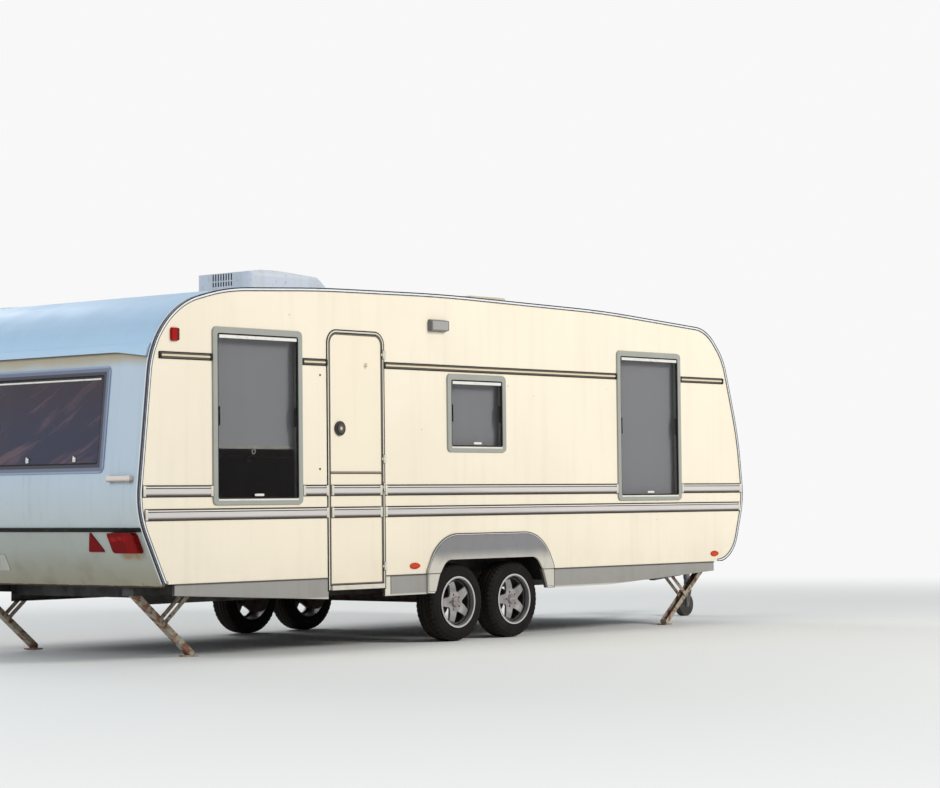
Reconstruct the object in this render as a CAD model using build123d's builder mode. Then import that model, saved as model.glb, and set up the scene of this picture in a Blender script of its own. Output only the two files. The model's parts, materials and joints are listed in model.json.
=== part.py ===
import math
import os

from build123d import *

os.makedirs("parts", exist_ok=True)

# Millimetres. +X points forward to the hitch, +Y to the left side, +Z up. The floor is z = 0.
SIDES = (("right", -1), ("left", 1))

# Body shell
HALF_WIDTH = 1250
WALL = 32
SKIN = 30
INSIDE = HALF_WIDTH - WALL
BODY_BOTTOM = 520
BROW_HEIGHT = 2074
FRONT_BROW = 2350
WAIST_HEIGHT = 885
LOCKER_TOP = 1085
LOCKER_SILL = 560
REAR_LIP_BOTTOM = 497
FLOOR_TOP = BODY_BOTTOM + 20
FLOOR_THICK = 35
FLOOR_REAR = -3820
FLOOR_FRONT = 2410
FLOOR_BOTTOM = FLOOR_TOP - FLOOR_THICK

# Side profile corners: along, height, corner radius
PROFILE = (
    (-3855, BODY_BOTTOM, 0),
    (-4089, 1003, 590),
    (-3962, 2142, 600),
    (-3695, 2414, 620),
    (-3277, 2526, 1800),
    (-2347, 2574, 12000),
    (-1068, 2597, 20000),
    (902, 2567, 15000),
    (2330, 2482, 400),
    (2573, 2239, 500),
    (2777, 1572, 2500),
    (2840, 1045, 600),
    (2674, BODY_BOTTOM, 300),
)
REAR_FOOT = PROFILE[0][0]
PROFILE_REAR = min(along for along, height, radius in PROFILE) - 100
PROFILE_FRONT = max(along for along, height, radius in PROFILE) + 100
PROFILE_TOP = max(height for along, height, radius in PROFILE) + 100
PROFILE_MID = (PROFILE_REAR + PROFILE_FRONT) / 2
PROFILE_LENGTH = PROFILE_FRONT - PROFILE_REAR
TRIM_PROUD = 6
TRIM_FACE = 20
TRIM_LAP = 26

# Lip of the roof moulding over the rear window
LIP_PROUD = 26
LIP_FACE = 10
LIP_RISE = 52
LIP_CORNER_DROP = 38
LIP_STRAIGHT = 926
LIP_BEND = 900

# Wheels
WHEEL_MID = -501
AXLE_HALF_GAP = 329
TYRE_RADIUS = 294
TYRE_WIDTH = 185
TYRE_OUTER = HALF_WIDTH - 55
TYRE_SHOULDER = 14
RIM_RADIUS = 190
RIM_WALL = 5
BEAD_DEPTH = 8
TYRE_MID = TYRE_OUTER - TYRE_WIDTH / 2
WHEEL_AXLES = (
    ("rear", WHEEL_MID - AXLE_HALF_GAP),
    ("front", WHEEL_MID + AXLE_HALF_GAP),
)

# Wheel arches
ARCH_HALF_FOOT = 748
ARCH_FOOT_TOP = 545
ARCH_HALF_TOP = 611
ARCH_TOP = 812
ARCH_RADIUS = 355
MOUTH_HALF_FOOT = 662
MOUTH_HALF_KNEE = 613
MOUTH_KNEE = 505
MOUTH_HALF_TOP = 532
MOUTH_TOP = 617
MOUTH_RADIUS = 110
ARCH_PROUD = 14
SKIRT_BOTTOM = 370
SKIRT_END_BOTTOM = 442
SKIRT_THICK = 28
SKIRT_BEAD = 9
SKIRT_BEAD_PROUD = 5
BOX_SHEET = 6
BOX_HALF_LENGTH = 660
BOX_TOP = 668
BOX_INNER = HALF_WIDTH - 360

# Entrance door
DOOR_REAR = -2290
DOOR_FRONT = -1698
DOOR_BOTTOM = 430
DOOR_TOP = 2283
DOOR_FRAME = 17
DOOR_SILL = 32
DOOR_FLANGE = 10
DOOR_GAP = 5
DOOR_THICK = 28
DOOR_CORNER = 95
DOOR_SPLIT = 1258
DOOR_FLANGE_PROUD = 4
LEAF_EDGE = 10
LEAF_EDGE_PROUD = 2

# Hinge knuckles
HINGE_RADIUS = 6
HINGE_PIN = 3
HINGE_RUN = 0.3
HINGE_GAP = 0.5
DOOR_AXIS_X = DOOR_FRONT - 14
DOOR_AXIS_Y = -(HALF_WIDTH + 13)
DOOR_HINGES = (588, 1161, 1365, 2123)
DOOR_KNUCKLE = 19
DOOR_BARREL = 60
LID_HINGES = (-800, 0, 800)
LID_KNUCKLE = 40
LID_BARREL = 120
VENT_KNUCKLE = 20
VENT_BARREL = 60

# Windows on the sides, of which the tall ones stand at both ends
TALL_REAR_MID = -2979.5
TALL_FRONT_MID = 1514.5
TALL_HEIGHT = 1650.5
TALL_WIDTH = 869
TALL = 1219
LOW_MID = -663
LOW_HEIGHT = 1714
LOW = 590

# Side, middle along, middle height, width, height, blind bottom
SIDE_WINDOWS = (
    (-1, TALL_REAR_MID, TALL_HEIGHT, TALL_WIDTH, TALL, 1440),
    (-1, LOW_MID, LOW_HEIGHT, 684, LOW, 1440),
    (-1, TALL_FRONT_MID, TALL_HEIGHT, TALL_WIDTH, TALL, 1060),
    (1, TALL_REAR_MID, TALL_HEIGHT, TALL_WIDTH, TALL, 1060),
    (1, LOW_MID, LOW_HEIGHT, 1100, LOW, 1440),
    (1, TALL_FRONT_MID, TALL_HEIGHT, TALL_WIDTH, TALL, 1060),
)
FRAME_FACE = 44
FRAME_PROUD = 12
FRAME_SLOPE = 20
FRAME_LAP = 15
FRAME_CORNER = 38
FRAME_INNER_CORNER = 16
SEAL_WIDTH = 10
SEAL_PROUD = 8
SEAL_DEPTH = 12
PANE_THICK = 6
SLEEVE_LAP = 4
TOP_RAIL = 24
TOP_RAIL_PROUD = 6
CATCH_LENGTH = 88
CATCH_TALL = 16
STAY_LENGTH = 130
STAY_WIDTH = 22
BLIND_CASE = 40
BLIND_CASE_TALL = 50
BLIND_OVER = 20

# End windows: middle height, half width, height
REAR_WINDOW_TALL = 717
REAR_WINDOW_DROP = 90
REAR_WINDOW = (BROW_HEIGHT - REAR_WINDOW_DROP - REAR_WINDOW_TALL / 2, 878, REAR_WINDOW_TALL)
FRONT_WINDOW = (1640, 900, 700)
END_FRAME_FACE = 58
END_FRAME_CORNER = 40
END_FRAME_PROUD = 8
END_SEAL_PROUD = 4

# Side mouldings: heights of the middles, sizes
UPPER_MOULDING = 1139
LOWER_MOULDING = 982
DRIP_RAIL = 2048
MOULDING_HEIGHT = 68
MOULDING_BASE = 5
MOULDING_PROUD = 12
MOULDING_BAND = 43
MOULDING_BAND_DROP = 3.5
MOULDING_BEAD = 8
MOULDING_BEAD_RISE = 26
MOULDING_BEAD_PROUD = 9
MOULDING_END = 12
MOULDING_CORNER = 8
DRIP_HEIGHT = 38
DRIP_BASE = 4
DRIP_BAND = 14
DRIP_PROUD = 8

# Chassis
RAIL_OUTER = 700
RAIL_FLANGE = 45
RAIL_WEB = 5
RAIL_BOTTOM = 365
RAIL_REAR = -3560
RAIL_FRONT = 2300
AXLE_TUBE_RADIUS = 45
TRAIL = 170
ARM_INNER = HALF_WIDTH - 350
ARM_THICK = 28
ARM_GAP = 8
SPINDLE_RADIUS = 28
SPINDLE_RUN = 0.3
DRUM_RADIUS = 118
DRUM_WIDTH = 60

# Drawbar and hitch
HITCH_HEIGHT = 400
BEAM_HEIGHT = 90
BEAM_WIDTH = 55
BEAM_FRONT = 3560
BEAM_FRONT_HALF = 62
PLATE_THICK = 10
HOUSING_LENGTH = 220
HOUSING_HALF = 45
HOUSING_TALL = 72
SHAFT_RADIUS = 26
SHAFT_RISE = 46
GAITER_RADIUS = 42
GAITER_GROOVE = 34
GAITER_FOLDS = 6
GAITER_FOLD = 26
COUPLING_TIP = 4080
COUPLING_LENGTH = 240
COUPLING_HALF = 34
COUPLING_NOSE = 46
COUPLING_TALL = 84
BALL_RADIUS = 25.3
SOCKET_DEPTH = 50

# Jockey wheel
JOCKEY_X = 3430
JOCKEY_Y = -215
JOCKEY_TUBE = 30
JOCKEY_TUBE_WALL = 4
JOCKEY_RUN = 1
JOCKEY_TUBE_BOTTOM = 330
JOCKEY_TUBE_TOP = 720
JOCKEY_RADIUS = 100
JOCKEY_WIDTH = 60
JOCKEY_TRAIL = 45
JOCKEY_FORK_GAP = 7
JOCKEY_PLATE = 5
JOCKEY_PIN = 7
JOCKEY_CROWN = 222

# Corner steadies
STEADY_PIVOT = 455
STEADY_ARM = 335
STEADY_FOOT_RISE = 28
FOOT_LENGTH = 110
FOOT_WIDTH = 80
FOOT_THICK = 10
LEG_HALF = 30
LEG_PLATE = 4
LEG_DEPTH = 40
BRACE_PLATE = 5
BRACE_GAP = 5.5
BRACE_DEPTH = 30
BRACKET_HALF = 52
BRACKET_PLATE = 4
BRACKET_BOTTOM = 436
STEADY_PIN = 6
STEADY_PIN_RUN = 0.5
STEADY_NUT = 12
SCREW_RADIUS = 8
SCREW_RISE = 25
REAR_STEADY_X = -3765
FRONT_STEADY_X = 2480
BRACKET_OFF_RAIL = 78
REAR_STEADY_Y = RAIL_OUTER + BRACKET_OFF_RAIL + BRACKET_HALF
FRONT_STEADY_Y = HALF_WIDTH - 200

# Each steady: name, pivot along, middle across, way the leg points
STEADIES = (
    ("rear_right", REAR_STEADY_X, -REAR_STEADY_Y, 1),
    ("rear_left", REAR_STEADY_X, REAR_STEADY_Y, 1),
    ("front_right", FRONT_STEADY_X, -FRONT_STEADY_Y, -1),
    ("front_left", FRONT_STEADY_X, FRONT_STEADY_Y, -1),
)

# Roof units, whose heights stand on the roof under them
AC_REAR = -2113
AC_LENGTH = 848
AC_HALF_WIDTH = 289
AC_HEIGHT = 222
AC_CORNER = 55
GRILLE_SLOTS = 8
GRILLE_PITCH = 28
GRILLE_SLOT = 13
GRILLE_DEPTH = 25
VENT_X = 395
VENT_Y = -300
VENT_LENGTH = 480
VENT_WIDTH = 420
VENT_RISE = 65
VENT_WALL = 45
VENT_LID = 62

# Rear lamps and reflectors: distance of the middle from the centre line, heights
LAMP_MID = 1039
LAMP_HALF = 126
LAMP_BOTTOM = 728
LAMP_TOP = 865
LAMP_PROUD = 46
TRIANGLE_MID = 704
TRIANGLE_HALF = 82
TRIANGLE_BOTTOM = 736
TRIANGLE_TALL = 136
REFLECTOR_PROUD = 8
REFLECTOR_LENGTH = 112
REFLECTOR_TALL = 48
LAMP_X = -1105.5
LAMP_Z = 2362
MARKER_ALONG = -3758
MARKER_HEIGHT = 2190
REFLECTOR_PLACES = ((-1375, 580), (2411, 586))

# Blank number plate and grab handles
PLATE_MID = 550
PLATE_LENGTH = 520
PLATE_BOTTOM = 600
PLATE_TALL = 112
HANDLE_MID = 1062
HANDLE_HALF = 116
HANDLE_HEIGHT = 1225
HANDLE_PROUD = 34


def side_plane(side, inner, outer):
    # Start plane of an extrusion outer - inner long that fills that span of one side
    return Plane.XZ.offset(inner) if side < 0 else Plane.XZ.offset(-outer)


def outward(side, along, out, height):
    # Plane at one point of a side, seen from outside, its own +Z pointing outward
    return Plane(origin=(along, side * out, height), x_dir=(-side, 0, 0), z_dir=(0, side, 0))


def save(part, name):
    part.label = name
    export_step(part, "parts/" + name + ".step")


# Side outline and the outlines offset from it
with BuildSketch() as side_profile:
    with BuildLine():
        Polyline(*[(along, height) for along, height, radius in PROFILE], close=True)
    make_face()
    for along, height, radius in PROFILE:
        if radius:
            corner = side_profile.vertices().sort_by_distance(Vector(along, height, 0))[0]
            fillet(corner, radius=radius)


def grown_profile(amount):
    # The side outline with a margin all round, or without one where the amount is negative
    with BuildSketch() as grown:
        add(side_profile.sketch)
        offset(amount=amount, kind=Kind.INTERSECTION)
    return grown.sketch


inner_profile = grown_profile(-SKIN)
frame_profile = grown_profile(END_FRAME_PROUD)
bead_profile = grown_profile(TRIM_PROUD)
bead_inner_profile = grown_profile(-TRIM_FACE)
seal_profile = grown_profile(END_SEAL_PROUD)
seal_inner_profile = grown_profile(END_SEAL_PROUD - SEAL_DEPTH)
pane_inner_profile = grown_profile(END_SEAL_PROUD - 1 - PANE_THICK)
pane_profile = grown_profile(END_SEAL_PROUD - 1)
lip_profile = grown_profile(LIP_PROUD)
lamp_profile = grown_profile(LAMP_PROUD)
reflector_profile = grown_profile(REFLECTOR_PROUD)


def outline_box(height, along):
    # Bounds of the side outline on a thin strip at one height, or at one place along
    with BuildSketch() as strip:
        add(side_profile.sketch)
        if along is None:
            with Locations((PROFILE_MID, height)):
                Rectangle(PROFILE_LENGTH, 1, mode=Mode.INTERSECT)
        else:
            with Locations((along, PROFILE_TOP / 2)):
                Rectangle(1, PROFILE_TOP, mode=Mode.INTERSECT)
    return strip.sketch.bounding_box()


def rear_at(height):
    return outline_box(height, None).min.X


def front_at(height):
    return outline_box(height, None).max.X


def roof_at(along):
    return outline_box(None, along).max.Y


def end_band(way, outer, inner, low, high):
    # Skin between two outlines, from one height to another, at the rear (-1) or at the front (1)
    with BuildSketch(Plane.XZ) as band:
        add(outer)
        add(inner, mode=Mode.SUBTRACT)
        with Locations((PROFILE_MID + way * PROFILE_LENGTH / 2, (low + high) / 2)):
            Rectangle(PROFILE_LENGTH, high - low, mode=Mode.INTERSECT)
    return band.sketch


def door_shape(inset, foot):
    # Outline of the doorway, that much inside the frame's edge, round at the top and square at its foot
    with BuildSketch() as shape:
        with Locations(((DOOR_REAR + DOOR_FRONT) / 2, (foot + DOOR_TOP - inset) / 2)):
            Rectangle(DOOR_FRONT - DOOR_REAR - 2 * inset, DOOR_TOP - inset - foot)
        fillet([v for v in shape.vertices() if v.Y > DOOR_SPLIT], radius=DOOR_CORNER - inset)
    return shape.sketch


# Side walls, with the door, window and wheel openings
for side_name, side in SIDES:
    with BuildPart() as side_wall:
        with BuildSketch(side_plane(side, INSIDE, HALF_WIDTH)):
            add(side_profile.sketch)
            with Locations((WHEEL_MID, BODY_BOTTOM)):
                Rectangle(2 * BOX_HALF_LENGTH - 40, 2 * (BOX_TOP - BODY_BOTTOM - 12), mode=Mode.SUBTRACT)
            for window_side, along, height, width, tall, blind in SIDE_WINDOWS:
                if window_side == side:
                    with Locations((along, height)):
                        RectangleRounded(width - 2 * FRAME_LAP, tall - 2 * FRAME_LAP,
                                         FRAME_CORNER - FRAME_LAP, mode=Mode.SUBTRACT)
            if side < 0:
                add(door_shape(DOOR_FLANGE, DOOR_BOTTOM), mode=Mode.SUBTRACT)
        extrude(amount=WALL)
    save(side_wall.part, "side_wall_" + side_name)

# Roof, which turns down at both ends, with its lip over the rear window
LIP_X = rear_at(BROW_HEIGHT)
with BuildPart() as rear_lip:
    with BuildSketch(Plane.XZ):
        add(lip_profile)
        add(side_profile.sketch, mode=Mode.SUBTRACT)
        with BuildLine():
            Polyline((LIP_X - 2 * LIP_PROUD, BROW_HEIGHT - LIP_CORNER_DROP),
                     (LIP_X - 2 * LIP_PROUD, BROW_HEIGHT - 2 * LIP_FACE),
                     (LIP_X - LIP_PROUD, BROW_HEIGHT + LIP_FACE),
                     (LIP_X + LIP_FACE, BROW_HEIGHT + LIP_RISE),
                     (LIP_X + LIP_RISE, BROW_HEIGHT + LIP_RISE),
                     (LIP_X + LIP_RISE, BROW_HEIGHT - LIP_CORNER_DROP), close=True)
        make_face(mode=Mode.INTERSECT)
    extrude(amount=INSIDE, both=True)
    with BuildSketch(Plane.YZ.offset(PROFILE_REAR)) as lip_cut:
        with BuildLine():
            Polyline((-LIP_STRAIGHT, BROW_HEIGHT), (LIP_STRAIGHT, BROW_HEIGHT),
                     (HALF_WIDTH, BROW_HEIGHT - LIP_CORNER_DROP), (-HALF_WIDTH, BROW_HEIGHT - LIP_CORNER_DROP),
                     close=True)
        make_face()
        fillet(lip_cut.vertices().group_by(Axis.Y)[-1], radius=LIP_BEND)
    extrude(amount=600, mode=Mode.SUBTRACT)

with BuildPart() as roof_panel:
    with BuildSketch(Plane.XZ):
        add(side_profile.sketch)
        add(inner_profile, mode=Mode.SUBTRACT)
        with Locations((PROFILE_MID, (BROW_HEIGHT + PROFILE_TOP) / 2)):
            Rectangle(PROFILE_LENGTH, PROFILE_TOP - BROW_HEIGHT, mode=Mode.INTERSECT)
        with Locations((PROFILE_FRONT, (BROW_HEIGHT + FRONT_BROW) / 2)):
            Rectangle(PROFILE_LENGTH, FRONT_BROW - BROW_HEIGHT, mode=Mode.SUBTRACT)
    extrude(amount=INSIDE, both=True)
    with BuildSketch(Plane.XY.offset(PROFILE_TOP)):
        with Locations((VENT_X, VENT_Y)):
            RectangleRounded(VENT_LENGTH - 2 * VENT_WALL, VENT_WIDTH - 2 * VENT_WALL, 20)
    extrude(amount=-300, mode=Mode.SUBTRACT)
    add(rear_lip.part)
save(roof_panel.part, "roof_panel")

# Rear wall with its window opening
with BuildPart() as rear_wall:
    extrude(end_band(-1, side_profile.sketch, inner_profile, WAIST_HEIGHT, BROW_HEIGHT), amount=INSIDE, both=True)
    with BuildSketch(Plane.YZ.offset(PROFILE_REAR)):
        with Locations((0, REAR_WINDOW[0])):
            RectangleRounded(2 * (REAR_WINDOW[1] - FRAME_LAP), REAR_WINDOW[2] - 2 * FRAME_LAP,
                             END_FRAME_CORNER - FRAME_LAP)
    extrude(amount=600, mode=Mode.SUBTRACT)
save(rear_wall.part, "rear_wall")

# Lower rear panel, down to its lip
with BuildPart() as rear_lower_panel:
    extrude(end_band(-1, side_profile.sketch, inner_profile, BODY_BOTTOM + SKIN, WAIST_HEIGHT),
            amount=INSIDE, both=True)
    with BuildSketch(Plane.XZ):
        with BuildLine():
            Polyline((REAR_FOOT - 15, BODY_BOTTOM + SKIN), (REAR_FOOT + 11, REAR_LIP_BOTTOM),
                     (REAR_FOOT + 36, REAR_LIP_BOTTOM), (REAR_FOOT + 18, BODY_BOTTOM + SKIN), close=True)
        make_face()
    extrude(amount=INSIDE, both=True)
save(rear_lower_panel.part, "rear_lower_panel")

# Rubber strip along the waist joint of the rear wall
WAIST_PROUD = 7
WAIST_HALF = 14
with BuildPart() as waist_trim:
    extrude(end_band(-1, grown_profile(WAIST_PROUD), side_profile.sketch, WAIST_HEIGHT - WAIST_HALF,
                     WAIST_HEIGHT + WAIST_HALF), amount=INSIDE, both=True)
save(waist_trim.part, "waist_trim")

# Front wall with its window opening and the fixed halves of the locker lid's hinges
LID_AXIS_Z = LOCKER_TOP - 3
LID_AXIS_X = front_at(LID_AXIS_Z) + HINGE_RADIUS + 1
with BuildPart() as front_wall:
    extrude(end_band(1, side_profile.sketch, inner_profile, LOCKER_TOP, FRONT_BROW), amount=INSIDE, both=True)
    with BuildSketch(Plane.YZ.offset(PROFILE_FRONT)):
        with Locations((0, FRONT_WINDOW[0])):
            RectangleRounded(2 * (FRONT_WINDOW[1] - FRAME_LAP), FRONT_WINDOW[2] - 2 * FRAME_LAP,
                             END_FRAME_CORNER - FRAME_LAP)
    extrude(amount=-600, mode=Mode.SUBTRACT)
    for across in LID_HINGES:
        for way in (-1, 1):
            middle = across + way * (LID_BARREL + LID_KNUCKLE + 2 * HINGE_GAP) / 4
            width = (LID_BARREL - LID_KNUCKLE - 2 * HINGE_GAP) / 2
            with BuildSketch(Plane.XZ.offset(-middle)):
                with Locations((LID_AXIS_X - HINGE_RADIUS, LOCKER_TOP + 15)):
                    Rectangle(8, 30)
                with Locations((LID_AXIS_X, LID_AXIS_Z)):
                    Circle(HINGE_RADIUS)
                with Locations((LID_AXIS_X - 3, LOCKER_TOP)):
                    Rectangle(4, 6)
                with Locations((LID_AXIS_X, LID_AXIS_Z)):
                    Circle(HINGE_PIN + HINGE_RUN, mode=Mode.SUBTRACT)
            extrude(amount=width / 2, both=True)
save(front_wall.part, "front_wall")

# Gas locker: sill, bulkhead, cheeks and lintel
LOCKER_BULKHEAD = FLOOR_FRONT - 10
LOCKER_SHEET = 12
LOCKER_CHEEK = 18
LID_GAP = 6
LID_HALF = INSIDE - LOCKER_CHEEK - LID_GAP
with BuildPart() as gas_locker:
    with BuildSketch(Plane.XZ):
        add(side_profile.sketch)
        add(inner_profile, mode=Mode.SUBTRACT)
        with Locations((PROFILE_FRONT, (BODY_BOTTOM + LOCKER_SILL) / 2)):
            Rectangle(2 * (PROFILE_FRONT - FLOOR_FRONT), LOCKER_SILL - BODY_BOTTOM, mode=Mode.INTERSECT)
    extrude(amount=INSIDE, both=True)
    with Locations((LOCKER_BULKHEAD + LOCKER_SHEET / 2, 0, (FLOOR_TOP + LOCKER_TOP) / 2)):
        Box(LOCKER_SHEET, 2 * INSIDE, LOCKER_TOP - FLOOR_TOP)
    with BuildSketch(Plane.XZ):
        with Locations((PROFILE_FRONT - 100, LOCKER_TOP + LOCKER_SHEET / 2)):
            Rectangle(2 * (PROFILE_FRONT - 100 - LOCKER_BULKHEAD), LOCKER_SHEET)
        add(inner_profile, mode=Mode.INTERSECT)
    extrude(amount=INSIDE, both=True)
    for side_name, side in SIDES:
        with BuildSketch(side_plane(side, INSIDE - LOCKER_CHEEK, INSIDE)):
            add(side_profile.sketch)
            with Locations((PROFILE_FRONT, (LOCKER_SILL + LOCKER_TOP) / 2)):
                Rectangle(2 * (PROFILE_FRONT - LOCKER_BULKHEAD), LOCKER_TOP - LOCKER_SILL, mode=Mode.INTERSECT)
        extrude(amount=LOCKER_CHEEK)
save(gas_locker.part, "gas_locker")

# Gas locker lid, hinged along its top edge, with two turn catches low down
LID_CATCHES = (-760, 760)
CATCH_HEIGHT = LOCKER_SILL + 130
CATCH_X = front_at(CATCH_HEIGHT)
with BuildPart() as locker_lid:
    with BuildSketch(Plane.XZ):
        add(side_profile.sketch)
        add(inner_profile, mode=Mode.SUBTRACT)
        with Locations((PROFILE_FRONT, (LOCKER_SILL + LOCKER_TOP) / 2)):
            Rectangle(2 * (PROFILE_FRONT - FLOOR_FRONT), LOCKER_TOP - LOCKER_SILL - 2 * LID_GAP,
                      mode=Mode.INTERSECT)
    extrude(amount=LID_HALF, both=True)
    for across in LID_HINGES:
        with BuildSketch(Plane.XZ.offset(-across)):
            with Locations((LID_AXIS_X - HINGE_RADIUS, LOCKER_TOP - 24)):
                Rectangle(8, 36)
            with Locations((LID_AXIS_X, LID_AXIS_Z)):
                Circle(HINGE_RADIUS)
            with Locations((LID_AXIS_X - 3, LID_AXIS_Z - 4)):
                Rectangle(4, 6)
        extrude(amount=LID_KNUCKLE / 2, both=True)
        with BuildSketch(Plane.XZ.offset(-across)):
            with Locations((LID_AXIS_X, LID_AXIS_Z)):
                Circle(HINGE_PIN)
        extrude(amount=LID_BARREL / 2, both=True)
    for across in LID_CATCHES:
        with Locations((CATCH_X - 4, across, CATCH_HEIGHT)):
            Box(40, 34, 60)
save(locker_lid.part, "locker_lid")

# Floor, notched for the wheel boxes
with BuildPart() as floor_panel:
    with BuildSketch(Plane.XY.offset(FLOOR_BOTTOM)):
        with Locations(((FLOOR_REAR + FLOOR_FRONT) / 2, 0)):
            Rectangle(FLOOR_FRONT - FLOOR_REAR, 2 * INSIDE)
        for side_name, side in SIDES:
            with Locations((WHEEL_MID, side * (BOX_INNER + INSIDE) / 2)):
                Rectangle(2 * BOX_HALF_LENGTH, INSIDE - BOX_INNER, mode=Mode.SUBTRACT)
    extrude(amount=FLOOR_THICK)
save(floor_panel.part, "floor_panel")

# Wheel boxes over the tyres
with BuildPart() as wheel_boxes:
    for side_name, side in SIDES:
        with Locations((WHEEL_MID, side * (BOX_INNER + INSIDE) / 2, (FLOOR_BOTTOM + BOX_TOP) / 2)):
            Box(2 * BOX_HALF_LENGTH, INSIDE - BOX_INNER, BOX_TOP - FLOOR_BOTTOM)
        with Locations((WHEEL_MID, side * (BOX_INNER + BOX_SHEET + INSIDE) / 2,
                        (FLOOR_BOTTOM + BOX_TOP - BOX_SHEET) / 2)):
            Box(2 * (BOX_HALF_LENGTH - BOX_SHEET), INSIDE - BOX_INNER - BOX_SHEET,
                BOX_TOP - BOX_SHEET - FLOOR_BOTTOM, mode=Mode.SUBTRACT)
save(wheel_boxes.part, "wheel_boxes")

# Edge trim along the side outline
TRIM_REAR_FOOT = REAR_FOOT + 27
TRIM_FRONT_FOOT = 2455
with BuildPart() as edge_trims:
    for side_name, side in SIDES:
        with BuildSketch(side_plane(side, HALF_WIDTH, HALF_WIDTH + TRIM_PROUD)):
            add(bead_profile)
            add(bead_inner_profile, mode=Mode.SUBTRACT)
            with Locations((0, BODY_BOTTOM - 100)):
                Rectangle(2 * PROFILE_LENGTH, 2 * 101, mode=Mode.SUBTRACT)
            with Locations(((TRIM_REAR_FOOT + TRIM_FRONT_FOOT) / 2, BODY_BOTTOM)):
                Rectangle(TRIM_FRONT_FOOT - TRIM_REAR_FOOT, 2 * (TRIM_FACE + 1), mode=Mode.SUBTRACT)
        extrude(amount=TRIM_PROUD)
        with BuildSketch(side_plane(side, HALF_WIDTH - TRIM_LAP, HALF_WIDTH)):
            add(bead_profile)
            add(side_profile.sketch, mode=Mode.SUBTRACT)
            with Locations((0, BODY_BOTTOM - 100)):
                Rectangle(2 * PROFILE_LENGTH, 2 * 101, mode=Mode.SUBTRACT)
        extrude(amount=TRIM_LAP)
save(edge_trims.part, "edge_trims")


def moulding(side, start, stop, height):
    # Strip with a bead along its top and a broad raised band under it
    middle = (start + stop) / 2
    length = stop - start
    with BuildSketch(outward(side, middle, HALF_WIDTH, height)) as base:
        RectangleRounded(length, MOULDING_HEIGHT, MOULDING_CORNER)
    extrude(base.sketch, amount=MOULDING_BASE)
    with BuildSketch(outward(side, middle, HALF_WIDTH + MOULDING_BASE, height + MOULDING_BEAD_RISE)) as bead:
        RectangleRounded(length - MOULDING_END, MOULDING_BEAD, MOULDING_BEAD / 2 - 1)
    extrude(bead.sketch, amount=MOULDING_BEAD_PROUD - MOULDING_BASE)
    with BuildSketch(outward(side, middle, HALF_WIDTH + MOULDING_BASE, height - MOULDING_BAND_DROP)) as band:
        RectangleRounded(length - MOULDING_END, MOULDING_BAND, MOULDING_CORNER)
    extrude(band.sketch, amount=MOULDING_PROUD - MOULDING_BASE, taper=30)


def drip_rail(side, start, stop):
    # Narrow rail with a raised middle
    middle = (start + stop) / 2
    length = stop - start
    with BuildSketch(outward(side, middle, HALF_WIDTH, DRIP_RAIL)) as base:
        RectangleRounded(length, DRIP_HEIGHT, DRIP_HEIGHT / 2 - 4)
    extrude(base.sketch, amount=DRIP_BASE)
    with BuildSketch(outward(side, middle, HALF_WIDTH + DRIP_BASE, DRIP_RAIL)) as band:
        RectangleRounded(length - 3 * MOULDING_END, DRIP_BAND, DRIP_BAND / 2 - 1)
    extrude(band.sketch, amount=DRIP_PROUD - DRIP_BASE)


# Mouldings and drip rails, cut short of the edge trim, the windows and the door
EDGE_GAP = TRIM_FACE + 2
DRIP_GAP = 60
RUN_GAP = 1
UPPER_REAR = rear_at(UPPER_MOULDING + MOULDING_HEIGHT / 2) + EDGE_GAP
UPPER_FRONT = front_at(UPPER_MOULDING + MOULDING_HEIGHT / 2) - EDGE_GAP
LOWER_REAR = rear_at(LOWER_MOULDING - MOULDING_HEIGHT / 2) + EDGE_GAP
LOWER_FRONT = front_at(LOWER_MOULDING - MOULDING_HEIGHT / 2) - EDGE_GAP
DRIP_REAR = rear_at(DRIP_RAIL + DRIP_HEIGHT / 2) + DRIP_GAP
DRIP_FRONT = front_at(DRIP_RAIL + DRIP_HEIGHT / 2) - DRIP_GAP
REAR_GLASS_START = TALL_REAR_MID - TALL_WIDTH / 2
REAR_GLASS_STOP = TALL_REAR_MID + TALL_WIDTH / 2
FRONT_GLASS_START = TALL_FRONT_MID - TALL_WIDTH / 2
FRONT_GLASS_STOP = TALL_FRONT_MID + TALL_WIDTH / 2

# Side, from, to, height of the middle
MOULDING_RUNS = (
    (-1, UPPER_REAR, REAR_GLASS_START, UPPER_MOULDING),
    (-1, REAR_GLASS_STOP, DOOR_REAR, UPPER_MOULDING),
    (-1, DOOR_FRONT, FRONT_GLASS_START, UPPER_MOULDING),
    (-1, FRONT_GLASS_STOP, UPPER_FRONT, UPPER_MOULDING),
    (-1, LOWER_REAR, DOOR_REAR, LOWER_MOULDING),
    (-1, DOOR_FRONT, LOWER_FRONT, LOWER_MOULDING),
    (1, UPPER_REAR, REAR_GLASS_START, UPPER_MOULDING),
    (1, REAR_GLASS_STOP, FRONT_GLASS_START, UPPER_MOULDING),
    (1, FRONT_GLASS_STOP, UPPER_FRONT, UPPER_MOULDING),
    (1, LOWER_REAR, LOWER_FRONT, LOWER_MOULDING),
)

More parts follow.
